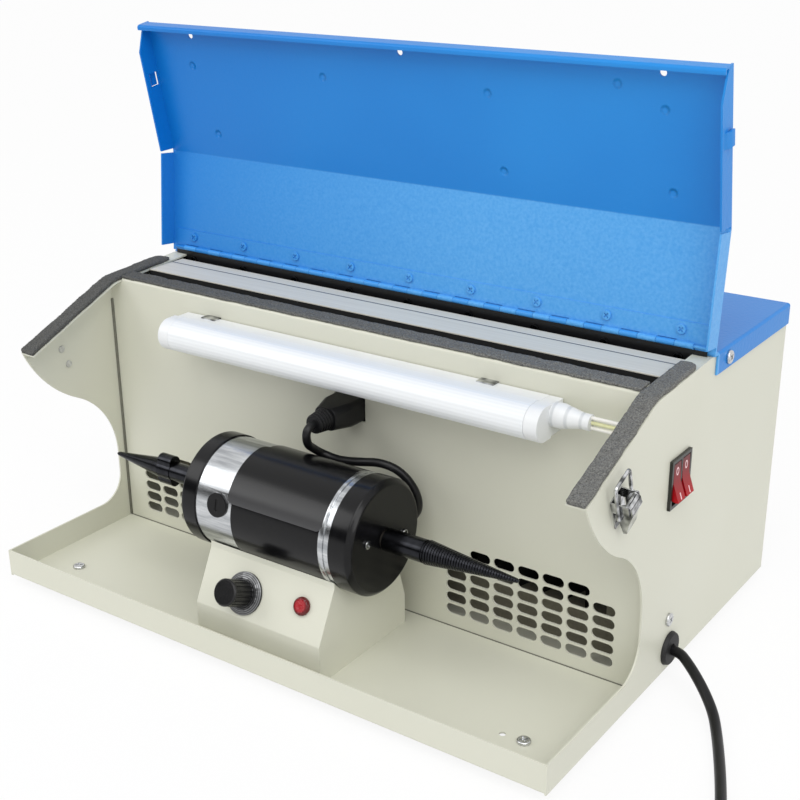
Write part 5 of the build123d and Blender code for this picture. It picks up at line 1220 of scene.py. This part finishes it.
# Speed control
# A fluted black knob on a spun black skirt, over a potentiometer and its board in the pedestal.
# The skirt shows turning rings, drawn a millimetre apart; the grip is satin black with fine dots.
knob_seat = Vector((-0.0119, -0.133668, 0.048749))
knob_axis = Vector((0, -0.893304, 0.449453))
knob_skin, tree = new_finish("spun_black_anodised_under_black_abs")
spot = add_node(tree, "ShaderNodeTexCoord")
from_seat = add_node(tree, "ShaderNodeVectorMath", {"operation": "SUBTRACT"}, {1: knob_seat}, {
    0: spot.outputs["Object"],
})
up_axis = add_node(tree, "ShaderNodeVectorMath", {"operation": "DOT_PRODUCT"}, {1: knob_axis}, {
    0: from_seat.outputs[0],
})
skirt_height = 0.0035
turning_gap = 0.001
grip = add_node(tree, "ShaderNodeMath", {"operation": "GREATER_THAN"}, {1: skirt_height}, {
    0: up_axis.outputs["Value"],
})
reach = add_node(tree, "ShaderNodeVectorMath", {"operation": "LENGTH"}, links={0: from_seat.outputs[0]})
turns = add_node(tree, "ShaderNodeMath", {"operation": "MULTIPLY"}, {1: 2 * math.pi / turning_gap}, {
    0: reach.outputs["Value"],
})
ring = add_node(tree, "ShaderNodeMath", {"operation": "SINE"}, links={0: turns.outputs[0]})
ring_at = add_node(tree, "ShaderNodeMapRange", values={1: -1.0, 2: 1.0}, links={0: ring.outputs[0]})
spun = add_node(tree, "ShaderNodeMix", {"data_type": "RGBA"}, {6: tone("#3A3A3B"), 7: tone("#808182")}, {
    0: ring_at.outputs[0],
})
skin = add_node(tree, "ShaderNodeMix", {"data_type": "RGBA"}, {7: tone("#0D0D0E")}, {
    0: grip.outputs[0],
    6: spun.outputs[2],
})
metal = add_node(tree, "ShaderNodeMath", {"operation": "SUBTRACT"}, {0: 1.0}, {1: grip.outputs[0]})
dots = add_node(tree, "ShaderNodeTexVoronoi", values={"Scale": 800.0}, links={
    "Vector": spot.outputs["Object"],
})
grip_dots = add_node(tree, "ShaderNodeMath", {"operation": "MULTIPLY"}, links={
    0: dots.outputs[0],
    1: grip.outputs[0],
})
bump = add_node(tree, "ShaderNodeBump", values={"Strength": 0.3, "Distance": 0.0004}, links={
    "Height": grip_dots.outputs[0],
})
close_finish(tree, add_node(tree, "ShaderNodeBsdfPrincipled", values={"Roughness": 0.3, "IOR": 1.4}, links={
    "Base Color": skin.outputs[2],
    "Metallic": metal.outputs[0],
    "Normal": bump.outputs[0],
}))
eased("speed_knob", 0.4, knob_skin)
board_green = mottled(
    "solder_mask_green", "#1D4A2C", "#27603A", scale=800.0, detail=2.0, shine={"Roughness": 0.35},
)
dress(board_green, "speed_control")
dress(foot_rubber, "pedestal_gland")

# Pilot lamp
# A pressed-in red acrylic lens on the pedestal's slope, glossy, with a dark rim.
# Small facets about 1.5 mm wide break up its shine.
pilot_red, tree = new_finish("clear_red_pilot_acrylic")
spot = add_node(tree, "ShaderNodeTexCoord")
depth = add_node(tree, "ShaderNodeTexNoise", values={"Scale": 120.0, "Detail": 2.0}, links={
    "Vector": spot.outputs["Object"],
})
lens_low, lens_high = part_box("pilot_lamp")
lens_middle = (lens_low + lens_high) / 2
from_lens = add_node(tree, "ShaderNodeVectorMath", {"operation": "SUBTRACT"}, {1: lens_middle}, {
    0: spot.outputs["Object"],
})
along = add_node(tree, "ShaderNodeVectorMath", {"operation": "CROSS_PRODUCT"}, {1: knob_axis}, {
    0: from_lens.outputs[0],
})
off_axis = add_node(tree, "ShaderNodeVectorMath", {"operation": "LENGTH"}, links={0: along.outputs[0]})
lens_radius = (lens_high.x - lens_low.x) / 2
rim_start = 0.55 * lens_radius
rim_full = 0.8 * lens_radius
rim = add_node(tree, "ShaderNodeMapRange", values={1: rim_start, 2: rim_full}, links={
    0: off_axis.outputs["Value"],
})
lens = add_node(tree, "ShaderNodeMix", {"data_type": "RGBA"}, {6: tone("#8A0A12"), 7: tone("#B8333A")}, {
    0: depth.outputs[0],
})
shade = add_node(tree, "ShaderNodeMix", {"data_type": "RGBA"}, {7: tone("#5C070B")}, {
    0: rim.outputs[0],
    6: lens.outputs[2],
})
facets = add_node(tree, "ShaderNodeTexVoronoi", values={"Scale": 700.0}, links={
    "Vector": spot.outputs["Object"],
})
bump = add_node(tree, "ShaderNodeBump", values={"Strength": 0.5, "Distance": 0.0006}, links={
    "Height": facets.outputs[0],
})
close_finish(tree, add_node(tree, "ShaderNodeBsdfPrincipled", values={
    "Roughness": 0.12, "IOR": 1.45,
}, links={"Base Color": shade.outputs[2], "Normal": bump.outputs[0]}))
eased("pilot_lamp", 0.4, pilot_red)
